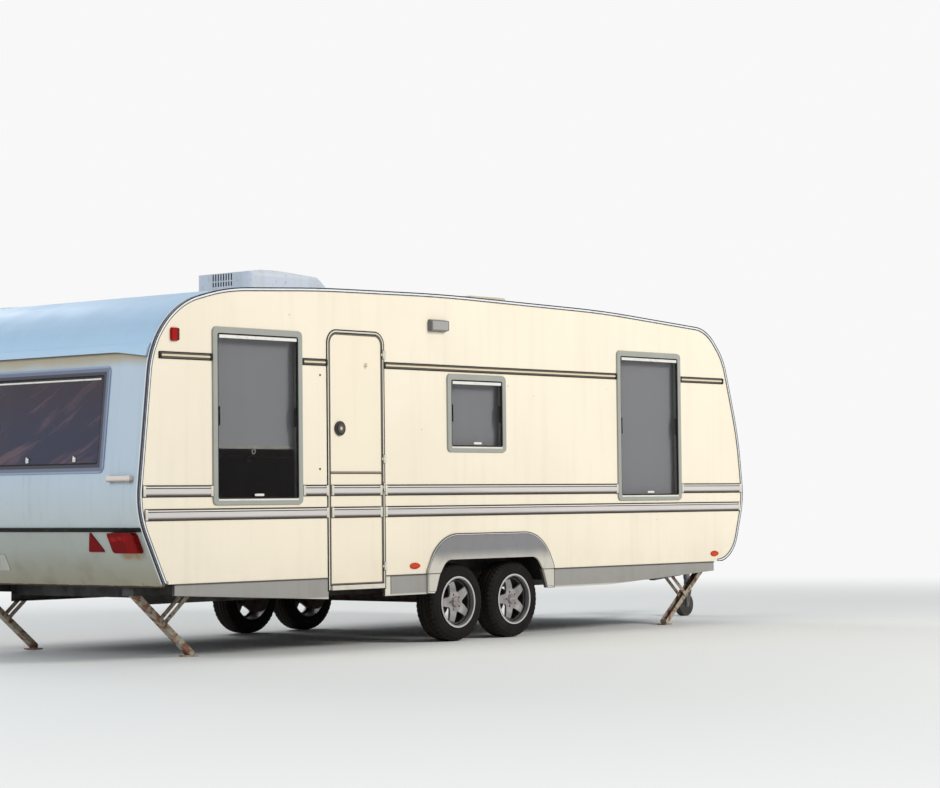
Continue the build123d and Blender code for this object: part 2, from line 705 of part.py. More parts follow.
# Side, from, to
DRIP_RUNS = (
    (-1, DRIP_REAR, REAR_GLASS_START),
    (-1, REAR_GLASS_STOP, DOOR_REAR),
    (-1, DOOR_FRONT, FRONT_GLASS_START),
    (-1, FRONT_GLASS_STOP, DRIP_FRONT),
    (1, DRIP_REAR, REAR_GLASS_START),
    (1, REAR_GLASS_STOP, FRONT_GLASS_START),
    (1, FRONT_GLASS_STOP, DRIP_FRONT),
)
with BuildPart() as mouldings:
    for side, start, stop, height in MOULDING_RUNS:
        moulding(side, start + RUN_GAP, stop - RUN_GAP, height)
    for side, start, stop in DRIP_RUNS:
        drip_rail(side, start + RUN_GAP, stop - RUN_GAP)
save(mouldings.part, "mouldings")

# Skirts under the side walls: side, from, to, taper at the rear end, taper at the front end
TAPER = 1446
SKIRT_REAR = REAR_FOOT + 92
SKIRT_FRONT = 2400
SKIRTS = (
    (-1, SKIRT_REAR, DOOR_REAR, True, False),
    (-1, DOOR_FRONT, WHEEL_MID - ARCH_HALF_FOOT, False, False),
    (-1, WHEEL_MID + ARCH_HALF_FOOT, SKIRT_FRONT, False, True),
    (1, SKIRT_REAR, WHEEL_MID - ARCH_HALF_FOOT, True, False),
    (1, WHEEL_MID + ARCH_HALF_FOOT, SKIRT_FRONT, False, True),
)
with BuildPart() as skirts:
    for side, start, stop, rear_taper, front_taper in SKIRTS:
        with BuildSketch(side_plane(side, HALF_WIDTH - SKIRT_THICK, HALF_WIDTH)):
            with Locations(((start + stop) / 2, (SKIRT_BOTTOM + BODY_BOTTOM) / 2)):
                Rectangle(stop - start, BODY_BOTTOM - SKIRT_BOTTOM)
            if rear_taper:
                with BuildLine():
                    Polyline((start, SKIRT_BOTTOM), (start + TAPER, SKIRT_BOTTOM), (start, SKIRT_END_BOTTOM),
                             close=True)
                make_face(mode=Mode.SUBTRACT)
            if front_taper:
                with BuildLine():
                    Polyline((stop, SKIRT_BOTTOM), (stop - TAPER, SKIRT_BOTTOM), (stop, SKIRT_END_BOTTOM),
                             close=True)
                make_face(mode=Mode.SUBTRACT)
        extrude(amount=SKIRT_THICK)
        with Locations(((start + stop) / 2, side * (HALF_WIDTH + SKIRT_BEAD_PROUD / 2),
                        BODY_BOTTOM - SKIRT_BEAD / 2)):
            Box(stop - start, SKIRT_BEAD_PROUD, SKIRT_BEAD)
save(skirts.part, "skirts")

# Wheel arch trims, moulded with a sloped rim
ARCH_OUTLINE = (
    (ARCH_HALF_FOOT, SKIRT_BOTTOM),
    (ARCH_HALF_FOOT, ARCH_FOOT_TOP),
    (ARCH_HALF_TOP, ARCH_TOP),
)
ARCH_MOUTH = (
    (MOUTH_HALF_FOOT, SKIRT_BOTTOM),
    (MOUTH_HALF_KNEE, MOUTH_KNEE),
    (MOUTH_HALF_TOP, MOUTH_TOP),
)
ARCH_RIM = 9
ARCH_RIM_WIDTH = 16


def arch_sketch(points, radius, corner_height):
    with BuildSketch() as shape:
        with BuildLine():
            Polyline(*[(WHEEL_MID - across, height) for across, height in points],
                     *[(WHEEL_MID + across, height) for across, height in reversed(points)], close=True)
        make_face()
        fillet([v for v in shape.vertices() if v.Y > corner_height], radius=radius)
    return shape.sketch


arch_outer = arch_sketch(ARCH_OUTLINE, ARCH_RADIUS, ARCH_TOP - 1)
arch_mouth = arch_sketch(ARCH_MOUTH, MOUTH_RADIUS, MOUTH_KNEE - 1)
with BuildPart() as arch_trims:
    with BuildSketch(Plane.XZ.offset(HALF_WIDTH)):
        add(arch_outer)
        add(arch_mouth, mode=Mode.SUBTRACT)
    extrude(amount=ARCH_PROUD - ARCH_RIM / 2)
    with BuildSketch(Plane.XZ.offset(HALF_WIDTH + ARCH_PROUD - ARCH_RIM / 2)):
        add(arch_outer)
        offset(amount=-ARCH_RIM_WIDTH, kind=Kind.INTERSECTION)
        add(arch_mouth, mode=Mode.SUBTRACT)
    extrude(amount=ARCH_RIM / 2)
    with BuildSketch(Plane.XZ.offset(HALF_WIDTH - SKIRT_THICK)):
        add(arch_outer)
        add(arch_mouth, mode=Mode.SUBTRACT)
        with Locations((WHEEL_MID, (SKIRT_BOTTOM + BODY_BOTTOM) / 2)):
            Rectangle(2 * ARCH_HALF_FOOT, BODY_BOTTOM - SKIRT_BOTTOM, mode=Mode.INTERSECT)
    extrude(amount=SKIRT_THICK)
    mirror(about=Plane.XZ)
save(arch_trims.part, "arch_trims")

# Windows in the end walls: window, way it faces, where its cutting sketch stands
ENDS = (
    (REAR_WINDOW, -1, PROFILE_REAR),
    (FRONT_WINDOW, 1, PROFILE_FRONT),
)


def end_sheet(end, outer, inner, margin, corner, hole):
    # Sheet between two outlines the size of an end window less a margin, with a hole less another margin
    (middle, half, tall), way, stand = end
    with BuildPart() as sheet:
        extrude(end_band(way, outer, inner, middle - tall / 2, middle + tall / 2), amount=half, both=True)
        with BuildSketch(Plane.YZ.offset(stand)):
            with Locations((0, middle)):
                RectangleRounded(2 * (half - margin), tall - 2 * margin, corner)
                if hole:
                    RectangleRounded(2 * (half - hole), tall - 2 * hole, END_FRAME_CORNER / 2, mode=Mode.SUBTRACT)
        extrude(amount=-way * 600, mode=Mode.INTERSECT)
    return sheet.part


# Window frames, each with a sleeve through the wall
with BuildPart() as window_frames:
    for side, along, height, width, tall, blind in SIDE_WINDOWS:
        with BuildSketch(outward(side, along, HALF_WIDTH, height)):
            RectangleRounded(width, tall, FRAME_CORNER)
        extrude(amount=FRAME_PROUD, taper=FRAME_SLOPE)
        with BuildSketch(outward(side, along, INSIDE - SLEEVE_LAP, height)):
            RectangleRounded(width - 2 * FRAME_LAP, tall - 2 * FRAME_LAP, FRAME_CORNER - FRAME_LAP)
        extrude(amount=WALL + SLEEVE_LAP)
        with BuildSketch(outward(side, along, INSIDE - SLEEVE_LAP, height)):
            RectangleRounded(width - 2 * FRAME_FACE, tall - 2 * FRAME_FACE, FRAME_INNER_CORNER)
        extrude(amount=WALL + SLEEVE_LAP + FRAME_PROUD, mode=Mode.SUBTRACT)
    for end in ENDS:
        add(end_sheet(end, frame_profile, side_profile.sketch, 0, END_FRAME_CORNER, END_FRAME_FACE))
        add(end_sheet(end, side_profile.sketch, inner_profile, FRAME_LAP, END_FRAME_CORNER - FRAME_LAP,
                      END_FRAME_FACE))
save(window_frames.part, "window_frames")

# Rubber seals between frames and panes, with the stays at mid height
SEAL_FACE = FRAME_FACE + SEAL_WIDTH
SEAL_CORNER = FRAME_INNER_CORNER - SEAL_WIDTH
SEAL_BACK = HALF_WIDTH + SEAL_PROUD - SEAL_DEPTH
PANE_BACK = HALF_WIDTH + 1
with BuildPart() as window_seals:
    for side, along, height, width, tall, blind in SIDE_WINDOWS:
        with BuildSketch(outward(side, along, SEAL_BACK, height)):
            RectangleRounded(width - 2 * FRAME_FACE, tall - 2 * FRAME_FACE, FRAME_INNER_CORNER)
            RectangleRounded(width - 2 * SEAL_FACE, tall - 2 * SEAL_FACE, SEAL_CORNER, mode=Mode.SUBTRACT)
        extrude(amount=SEAL_DEPTH)
        for way in (-1, 1):
            with Locations((along + way * (width / 2 - SEAL_FACE - STAY_WIDTH / 2), side * (SEAL_BACK + PANE_BACK) / 2,
                            height)):
                Box(STAY_WIDTH, PANE_BACK - SEAL_BACK, STAY_LENGTH)
    for end in ENDS:
        add(end_sheet(end, seal_profile, seal_inner_profile, END_FRAME_FACE, END_FRAME_CORNER / 2,
                      END_FRAME_FACE + SEAL_WIDTH))
save(window_seals.part, "window_seals")

with BuildPart() as window_panes:
    for side, along, height, width, tall, blind in SIDE_WINDOWS:
        with BuildSketch(outward(side, along, PANE_BACK, height)):
            RectangleRounded(width - 2 * SEAL_FACE, tall - 2 * SEAL_FACE, SEAL_CORNER)
        extrude(amount=PANE_THICK)
    for end in ENDS:
        add(end_sheet(end, pane_profile, pane_inner_profile, END_FRAME_FACE + SEAL_WIDTH,
                      END_FRAME_CORNER / 2, 0))
save(window_panes.part, "window_panes")

# Metal rails along the tops of the side panes and their catches
PANE_FACE = PANE_BACK + PANE_THICK
with BuildPart() as window_fittings:
    for side, along, height, width, tall, blind in SIDE_WINDOWS:
        with BuildSketch(outward(side, along, PANE_FACE, height + tall / 2 - SEAL_FACE - TOP_RAIL / 2)):
            Rectangle(width - 2 * SEAL_FACE - 2 * SEAL_CORNER, TOP_RAIL)
        extrude(amount=TOP_RAIL_PROUD, taper=15)
        with BuildSketch(outward(side, along, PANE_FACE, height - tall / 2 + SEAL_FACE + CATCH_TALL)):
            RectangleRounded(CATCH_LENGTH, CATCH_TALL, CATCH_TALL / 3)
        extrude(amount=TOP_RAIL_PROUD)
save(window_fittings.part, "window_fittings")

# Blinds behind the side windows: case, cloth, bottom bar
BLIND_MID = INSIDE - SLEEVE_LAP - BLIND_CASE / 2
with BuildPart() as blinds:
    for side, along, height, width, tall, blind in SIDE_WINDOWS:
        top = height + tall / 2 + BLIND_OVER
        with Locations((along, side * BLIND_MID, top - BLIND_OVER)):
            Box(width + BLIND_OVER, BLIND_CASE, BLIND_CASE_TALL)
        with Locations((along, side * BLIND_MID, (top + blind) / 2)):
            Box(width - 30, 3, top - blind)
        with Locations((along, side * BLIND_MID, blind)):
            Box(width - 20, 16, 24)
save(blinds.part, "blinds")

# Entrance door frame with its sill and the fixed halves of the hinges
LEAF_REAR = DOOR_REAR + DOOR_FRAME + DOOR_GAP
LEAF_FRONT = DOOR_FRONT - DOOR_FRAME - DOOR_GAP
LEAF_BOTTOM = DOOR_BOTTOM + DOOR_SILL + DOOR_GAP
LEAF_TOP = DOOR_TOP - DOOR_FRAME - DOOR_GAP
LEAF_MID = (LEAF_REAR + LEAF_FRONT) / 2
LEAF_WIDTH = LEAF_FRONT - LEAF_REAR
SILL_PROUD = 22
with BuildPart() as door_frame:
    with BuildSketch(side_plane(-1, INSIDE, HALF_WIDTH)):
        add(door_shape(DOOR_FLANGE, DOOR_BOTTOM))
    extrude(amount=WALL)
    with BuildSketch(side_plane(-1, HALF_WIDTH, HALF_WIDTH + DOOR_FLANGE_PROUD)):
        add(door_shape(0, DOOR_BOTTOM))
    extrude(amount=DOOR_FLANGE_PROUD)
    with Locations((LEAF_MID, -(HALF_WIDTH + SILL_PROUD / 2), DOOR_BOTTOM + DOOR_SILL / 2)):
        Box(LEAF_WIDTH, SILL_PROUD, DOOR_SILL)
    with BuildSketch(side_plane(-1, INSIDE, HALF_WIDTH + DOOR_FLANGE_PROUD)):
        add(door_shape(DOOR_FRAME, DOOR_BOTTOM + DOOR_SILL))
    extrude(amount=WALL + DOOR_FLANGE_PROUD, mode=Mode.SUBTRACT)
    for height in DOOR_HINGES:
        for way in (-1, 1):
            middle = height + way * (DOOR_BARREL + DOOR_KNUCKLE + 2 * HINGE_GAP) / 4
            tall = (DOOR_BARREL - DOOR_KNUCKLE - 2 * HINGE_GAP) / 2
            with BuildSketch(Plane.XY.offset(middle)):
                with Locations((DOOR_AXIS_X + 6, -(HALF_WIDTH + DOOR_FLANGE_PROUD + 3))):
                    Rectangle(12, 6)
                with Locations((DOOR_AXIS_X, DOOR_AXIS_Y)):
                    Circle(HINGE_RADIUS)
                    Circle(HINGE_PIN + HINGE_RUN, mode=Mode.SUBTRACT)
            extrude(amount=tall / 2, both=True)
save(door_frame.part, "door_frame")

# Two leaves, the upper one over the lower one: name, from, to
DOOR_LEAVES = (
    ("lower", LEAF_BOTTOM, DOOR_SPLIT - DOOR_GAP / 2),
    ("upper", DOOR_SPLIT + DOOR_GAP / 2, LEAF_TOP),
)
for leaf_name, low, high in DOOR_LEAVES:
    with BuildPart() as door_leaf:
        with BuildSketch(side_plane(-1, HALF_WIDTH - DOOR_THICK, HALF_WIDTH)):
            add(door_shape(DOOR_FRAME + DOOR_GAP, LEAF_BOTTOM))
            with Locations((LEAF_MID, (low + high) / 2)):
                Rectangle(LEAF_WIDTH, high - low, mode=Mode.INTERSECT)
        extrude(amount=DOOR_THICK)
        with BuildSketch(side_plane(-1, HALF_WIDTH, HALF_WIDTH + LEAF_EDGE_PROUD)):
            add(door_shape(DOOR_FRAME + DOOR_GAP, LEAF_BOTTOM))
            add(door_shape(DOOR_FRAME + DOOR_GAP + LEAF_EDGE, LEAF_BOTTOM + LEAF_EDGE), mode=Mode.SUBTRACT)
            with Locations((LEAF_MID, (low + high) / 2)):
                Rectangle(LEAF_WIDTH, high - low, mode=Mode.INTERSECT)
        extrude(amount=LEAF_EDGE_PROUD)
        for height in DOOR_HINGES:
            if low < height < high:
                with BuildSketch(Plane.XY.offset(height)):
                    with Locations((DOOR_AXIS_X - 8.5, -(HALF_WIDTH + 5))):
                        Rectangle(9, 10)
                    with Locations((DOOR_AXIS_X, DOOR_AXIS_Y)):
                        Circle(HINGE_RADIUS)
                extrude(amount=DOOR_KNUCKLE / 2, both=True)
                with BuildSketch(Plane.XY.offset(height)):
                    with Locations((DOOR_AXIS_X, DOOR_AXIS_Y)):
                        Circle(HINGE_PIN)
                extrude(amount=DOOR_BARREL / 2, both=True)
    save(door_leaf.part, "door_leaf_" + leaf_name)

# Mouldings across the lower leaf
LEAF_FACE_HALF = LEAF_WIDTH / 2 - LEAF_EDGE - RUN_GAP
with BuildPart() as door_mouldings:
    for height in (UPPER_MOULDING, LOWER_MOULDING):
        moulding(-1, LEAF_MID - LEAF_FACE_HALF, LEAF_MID + LEAF_FACE_HALF, height)
save(door_mouldings.part, "door_mouldings")

# Round handle, retainer knob and weather bead of the upper leaf
HANDLE_X = -2165
HANDLE_Z = 1581
HANDLE_DISC = 52
HANDLE_DISC_PROUD = 12
HANDLE_CUP = 40
HANDLE_CUP_PROUD = 8
KNOB_X = -1882
KNOB_Z = 2044
KNOB_RADIUS = 14
KNOB_PROUD = 22
WEATHER_BEAD = 12
with BuildPart() as door_handle:
    with BuildSketch(outward(-1, HANDLE_X, HALF_WIDTH, HANDLE_Z)):
        Circle(HANDLE_DISC)
    extrude(amount=HANDLE_DISC_PROUD)
    with BuildSketch(outward(-1, HANDLE_X, HALF_WIDTH + HANDLE_DISC_PROUD, HANDLE_Z)):
        Circle(HANDLE_CUP)
    extrude(amount=HANDLE_CUP_PROUD, taper=30)
    with BuildSketch(outward(-1, KNOB_X, HALF_WIDTH, KNOB_Z)):
        Circle(KNOB_RADIUS)
    extrude(amount=KNOB_PROUD)
    with Locations((LEAF_MID, -(HALF_WIDTH + WEATHER_BEAD / 4), DOOR_SPLIT + DOOR_GAP / 2 + 7)):
        Box(2 * LEAF_FACE_HALF, WEATHER_BEAD / 2, WEATHER_BEAD)
save(door_handle.part, "door_handle")

# Tyre and rim shapes about their own axle, outward along +Z
TYRE_BORE = RIM_RADIUS - BEAD_DEPTH
TYRE_HALF = TYRE_WIDTH / 2
with BuildPart() as tyre_shape:
    with BuildSketch(Plane.XZ):
        with BuildLine():
            Polyline((TYRE_BORE, -TYRE_HALF), (TYRE_RADIUS, -TYRE_HALF), (TYRE_RADIUS, TYRE_HALF - TYRE_SHOULDER),
                     (TYRE_RADIUS - TYRE_SHOULDER, TYRE_HALF), (TYRE_BORE, TYRE_HALF), close=True)
        make_face()
    revolve(axis=Axis.Z)

RIM_FACE = TYRE_HALF - 22
RIM_LIP = 3
HUB_RADIUS = SPINDLE_RADIUS + 14
HUB_BACK = -40
BORE_RADIUS = SPINDLE_RADIUS + SPINDLE_RUN
with BuildPart() as rim_shape:
    with BuildSketch(Plane.XZ):
        with BuildLine():
            Polyline((TYRE_BORE - RIM_WALL, 3 - TYRE_HALF), (TYRE_BORE, 3 - TYRE_HALF), (TYRE_BORE, TYRE_HALF),
                     (RIM_RADIUS + RIM_LIP, TYRE_HALF), (RIM_RADIUS + RIM_LIP, TYRE_HALF + RIM_LIP),
                     (TYRE_BORE - RIM_WALL, TYRE_HALF + RIM_LIP), close=True)
        make_face()
        with BuildLine():
            Polyline((HUB_RADIUS, RIM_FACE - 30), (HUB_RADIUS, RIM_FACE - 8), (75, RIM_FACE - 10), (110, RIM_FACE - 2),
                     (148, RIM_FACE - 2), (TYRE_BORE - RIM_WALL + 2, RIM_FACE - 22),
                     (TYRE_BORE - RIM_WALL + 2, RIM_FACE - 38), (140, RIM_FACE - 20), (75, RIM_FACE - 26), close=True)
        make_face()
    revolve(axis=Axis.Z)
    with BuildSketch(Plane.XY.offset(HUB_BACK)):
        Circle(HUB_RADIUS)
        Circle(BORE_RADIUS, mode=Mode.SUBTRACT)
    extrude(amount=RIM_FACE - 4 - HUB_BACK)
    with BuildSketch(Plane.XY.offset(RIM_FACE - 4)):
        Circle(HUB_RADIUS - 6)
    extrude(amount=8, taper=20)
    with BuildSketch(Plane.XY.offset(RIM_FACE - 50)) as rim_gaps:
        with PolarLocations(0, 5):
            Polygon((78, 8), (78, -8), (144, -72), (163, 0), (144, 72), align=None)
        fillet(rim_gaps.vertices(), radius=10)
        with PolarLocations(57, 5, start_angle=36):
            Circle(8)
    extrude(amount=60, mode=Mode.SUBTRACT)

for axle_name, axle_x in WHEEL_AXLES:
    for side_name, side in SIDES:
        hub = Plane(origin=(axle_x, side * TYRE_MID, TYRE_RADIUS), x_dir=(1, 0, 0), z_dir=(0, side, 0))
        save(hub.location * tyre_shape.part, "tyre_" + axle_name + "_" + side_name)
        save(hub.location * rim_shape.part, "rim_" + axle_name + "_" + side_name)

# Axles: cross tube, trailing arms with brake drums, spindles
SPINDLE_END = TYRE_MID + RIM_FACE - 10
AXLE_TUBE_Z = RAIL_BOTTOM - AXLE_TUBE_RADIUS
DRUM_INNER = ARM_INNER + ARM_THICK + ARM_GAP
ARM_TAPER = 3
with BuildPart() as axles:
    for axle_name, axle_x in WHEEL_AXLES:
        with BuildSketch(Plane.XZ.offset(-ARM_INNER)):
            with Locations((axle_x + TRAIL, AXLE_TUBE_Z)):
                Circle(AXLE_TUBE_RADIUS)
        extrude(amount=2 * ARM_INNER)
        for side_name, side in SIDES:
            with BuildSketch(side_plane(side, ARM_INNER, ARM_INNER + ARM_THICK)):
                with Locations((axle_x + TRAIL, AXLE_TUBE_Z)):
                    Circle(AXLE_TUBE_RADIUS)
                with Locations((axle_x, TYRE_RADIUS)):
                    Circle(AXLE_TUBE_RADIUS - ARM_TAPER)
                with BuildLine():
                    Polyline((axle_x, TYRE_RADIUS + 36), (axle_x + TRAIL, AXLE_TUBE_Z + 38),
                             (axle_x + TRAIL, AXLE_TUBE_Z - 38), (axle_x, TYRE_RADIUS - 36), close=True)
                make_face()
            extrude(amount=ARM_THICK)
            with BuildSketch(side_plane(side, ARM_INNER + ARM_THICK, DRUM_INNER)):
                with Locations((axle_x, TYRE_RADIUS)):
                    Circle(DRUM_RADIUS / 2)
            extrude(amount=ARM_GAP)
            with BuildSketch(side_plane(side, DRUM_INNER, DRUM_INNER + DRUM_WIDTH)):
                with Locations((axle_x, TYRE_RADIUS)):
                    Circle(DRUM_RADIUS)
            extrude(amount=DRUM_WIDTH)
            with BuildSketch(side_plane(side, DRUM_INNER + DRUM_WIDTH, SPINDLE_END)):
                with Locations((axle_x, TYRE_RADIUS)):
                    Circle(SPINDLE_RADIUS)
            extrude(amount=SPINDLE_END - DRUM_INNER - DRUM_WIDTH)
save(axles.part, "axles")

# Chassis: channel rails, crossmembers and outriggers
CROSSMEMBERS = (-3500, -2500, -1500, 450, 1400, 2240)
OUTRIGGERS = (-2400, -1640, 330, 1500)
CROSS_TALL = 90
CROSS_WIDTH = 40
OUTRIGGER_TALL = 80
OUTRIGGER_THICK = 6
RAIL_MID = (RAIL_REAR + RAIL_FRONT) / 2
RAIL_LENGTH = RAIL_FRONT - RAIL_REAR
RAIL_HEIGHT = (RAIL_BOTTOM + FLOOR_BOTTOM) / 2
RAIL_TALL = FLOOR_BOTTOM - RAIL_BOTTOM
with BuildPart() as chassis:
    for side_name, side in SIDES:
        with Locations((RAIL_MID, side * (RAIL_OUTER - RAIL_FLANGE / 2), RAIL_HEIGHT)):
            Box(RAIL_LENGTH, RAIL_FLANGE, RAIL_TALL)
        with Locations((RAIL_MID, side * (RAIL_OUTER - RAIL_FLANGE / 2 - RAIL_WEB), RAIL_HEIGHT)):
            Box(RAIL_LENGTH, RAIL_FLANGE, RAIL_TALL - 2 * RAIL_WEB, mode=Mode.SUBTRACT)
    for along in CROSSMEMBERS:
        with Locations((along, 0, FLOOR_BOTTOM - RAIL_WEB - CROSS_TALL / 2)):
            Box(CROSS_WIDTH, 2 * (RAIL_OUTER - RAIL_WEB), CROSS_TALL)
        with Locations((along + RAIL_WEB, 0, FLOOR_BOTTOM - RAIL_WEB - CROSS_TALL / 2)):
            Box(CROSS_WIDTH, 2 * (RAIL_OUTER - RAIL_WEB), CROSS_TALL - 2 * RAIL_WEB, mode=Mode.SUBTRACT)
    for along in OUTRIGGERS:
        for side_name, side in SIDES:
            with Locations((along, side * (RAIL_OUTER + HALF_WIDTH - SKIRT_THICK) / 2,
                            FLOOR_BOTTOM - OUTRIGGER_TALL / 2)):
                Box(OUTRIGGER_THICK, HALF_WIDTH - SKIRT_THICK - RAIL_OUTER, OUTRIGGER_TALL)
save(chassis.part, "chassis")

# Drawbar beams, which meet at the hitch plate
for side_name, side in SIDES:
    with BuildPart() as drawbar:
        with BuildSketch(Plane.XY.offset(HITCH_HEIGHT - BEAM_HEIGHT / 2)):
            with BuildLine():
                Polyline((RAIL_FRONT, side * RAIL_OUTER), (RAIL_FRONT, side * (RAIL_OUTER - BEAM_WIDTH)),
                         (BEAM_FRONT, side * (BEAM_FRONT_HALF - BEAM_WIDTH)), (BEAM_FRONT, side * BEAM_FRONT_HALF),
                         close=True)
            make_face()
        extrude(amount=BEAM_HEIGHT)
    save(drawbar.part, "drawbar_" + side_name)

# Hitch: plate, overrun housing, gaiter on the shaft, coupling head, brake lever
BEAM_TOP = HITCH_HEIGHT + BEAM_HEIGHT / 2
PLATE_TOP = BEAM_TOP + PLATE_THICK
SHAFT_Z = BEAM_TOP + SHAFT_RISE
HOUSING_REAR = BEAM_FRONT - 100
HOUSING_FRONT = HOUSING_REAR + HOUSING_LENGTH
COUPLING_REAR = COUPLING_TIP - COUPLING_LENGTH
COUPLING_BOTTOM = SHAFT_Z - COUPLING_TALL / 2 - 14
COUPLING_TOP = COUPLING_BOTTOM + COUPLING_TALL
SOCKET_X = COUPLING_TIP - COUPLING_NOSE
LEVER_TOP = PLATE_TOP + 270
LEVER_THICK = 16
with BuildPart() as hitch:
    with Locations((BEAM_FRONT - 40, 0, BEAM_TOP + PLATE_THICK / 2)):
        Box(240, 2 * (BEAM_FRONT_HALF + PLATE_THICK), PLATE_THICK)
    with BuildSketch(Plane.YZ.offset(HOUSING_REAR)):
        with Locations((0, PLATE_TOP)):
            RectangleRounded(2 * HOUSING_HALF, 2 * HOUSING_TALL, 20)
        with Locations((0, PLATE_TOP - HOUSING_TALL)):
            Rectangle(2 * HOUSING_HALF, 2 * HOUSING_TALL, mode=Mode.SUBTRACT)
    extrude(amount=HOUSING_LENGTH)
    with BuildSketch(Plane.XZ):
        with BuildLine():
            Polyline((HOUSING_FRONT, SHAFT_Z), (HOUSING_FRONT, SHAFT_Z + GAITER_GROOVE),
                     *[(HOUSING_FRONT + GAITER_FOLD * (fold + part), SHAFT_Z + radius)
                       for fold in range(GAITER_FOLDS)
                       for part, radius in ((0.5, GAITER_RADIUS), (1, GAITER_GROOVE))],
                     (HOUSING_FRONT + GAITER_FOLD * GAITER_FOLDS, SHAFT_Z), close=True)
        make_face()
    revolve(axis=Axis((0, 0, SHAFT_Z), (1, 0, 0)))
    with BuildSketch(Plane.YZ.offset(HOUSING_FRONT)):
        with Locations((0, SHAFT_Z)):
            Circle(SHAFT_RADIUS)
    extrude(amount=COUPLING_REAR + 60 - HOUSING_FRONT)
    with BuildSketch(Plane.XY.offset(COUPLING_BOTTOM)):
        with Locations((SOCKET_X, 0)):
            Circle(COUPLING_NOSE)
        with BuildLine():
            Polyline((COUPLING_REAR, COUPLING_HALF), (SOCKET_X, COUPLING_NOSE - 2), (SOCKET_X, 2 - COUPLING_NOSE),
                     (COUPLING_REAR, -COUPLING_HALF), close=True)
        make_face()
    extrude(amount=COUPLING_TALL)
    with BuildSketch(Plane.XZ):
        with BuildLine():
            Polyline((SOCKET_X + 20, COUPLING_TOP - 2), (SOCKET_X - 30, COUPLING_TOP + 40),
                     (SOCKET_X - 130, COUPLING_TOP + 62), (SOCKET_X - 136, COUPLING_TOP + 40),
                     (SOCKET_X - 60, COUPLING_TOP + 18), (SOCKET_X - 60, COUPLING_TOP - 2), close=True)
        make_face()
    extrude(amount=LEVER_THICK, both=True)
    with BuildSketch(Plane.XY.offset(COUPLING_BOTTOM)):
        with Locations((SOCKET_X, 0)):
            Circle(BALL_RADIUS)
    extrude(amount=SOCKET_DEPTH, mode=Mode.SUBTRACT)
    with BuildSketch(side_plane(1, HOUSING_HALF, HOUSING_HALF + LEVER_THICK)):
        with BuildLine():
            Polyline((HOUSING_REAR + 30, PLATE_TOP), (HOUSING_REAR + 90, PLATE_TOP),
                     (HOUSING_REAR + 20, LEVER_TOP), (HOUSING_REAR - 10, LEVER_TOP), close=True)
        make_face()
    extrude(amount=LEVER_THICK)
save(hitch.part, "hitch")

# Jockey wheel: clamp and outer tube, sliding inner tube, castor fork, wheel
CLAMP_HALF = 25
CLAMP_TALL = 70
beam_side = BEAM_FRONT_HALF + (RAIL_OUTER - BEAM_FRONT_HALF) * (BEAM_FRONT - JOCKEY_X) / (BEAM_FRONT - RAIL_FRONT)
with BuildPart() as jockey_tube:
    with BuildSketch(Plane.XY.offset(JOCKEY_TUBE_BOTTOM)):
        with Locations((JOCKEY_X, JOCKEY_Y)):
            Circle(JOCKEY_TUBE)
            Circle(JOCKEY_TUBE - JOCKEY_TUBE_WALL, mode=Mode.SUBTRACT)
    extrude(amount=JOCKEY_TUBE_TOP - JOCKEY_TUBE_BOTTOM)
    with BuildSketch(Plane.XY.offset(HITCH_HEIGHT - CLAMP_TALL / 2)):
        with BuildLine():
            Polyline((JOCKEY_X - CLAMP_HALF, JOCKEY_Y), (JOCKEY_X + CLAMP_HALF, JOCKEY_Y),
                     (JOCKEY_X + CLAMP_HALF, CLAMP_HALF - beam_side), (JOCKEY_X - CLAMP_HALF, -beam_side), close=True)
        make_face()
        with BuildLine():
            Polyline((RAIL_FRONT, -RAIL_OUTER), (RAIL_FRONT, 0), (BEAM_FRONT, 0), (BEAM_FRONT, -BEAM_FRONT_HALF),
                     close=True)
        make_face(mode=Mode.SUBTRACT)
        with Locations((JOCKEY_X, JOCKEY_Y)):
            Circle(JOCKEY_TUBE - JOCKEY_TUBE_WALL, mode=Mode.SUBTRACT)
    extrude(amount=CLAMP_TALL)
save(jockey_tube.part, "jockey_tube")

SLIDER_RADIUS = JOCKEY_TUBE - JOCKEY_TUBE_WALL - JOCKEY_RUN
CROWN_THICK = 8
CRANK_REACH = 122
CRANK_Z = JOCKEY_TUBE_TOP + 30
with BuildPart() as jockey_slider:
    with BuildSketch(Plane.XY.offset(JOCKEY_CROWN + CROWN_THICK)):
        with Locations((JOCKEY_X, JOCKEY_Y)):
            Circle(SLIDER_RADIUS)
    extrude(amount=CRANK_Z - JOCKEY_CROWN - CROWN_THICK)
    with Locations((JOCKEY_X, JOCKEY_Y - CRANK_REACH / 2, CRANK_Z + 6)):
        Box(16, CRANK_REACH + 18, 12)
    with BuildSketch(Plane.XY.offset(CRANK_Z)):
        with Locations((JOCKEY_X, JOCKEY_Y - CRANK_REACH)):
            Circle(12)
    extrude(amount=90)
save(jockey_slider.part, "jockey_slider")

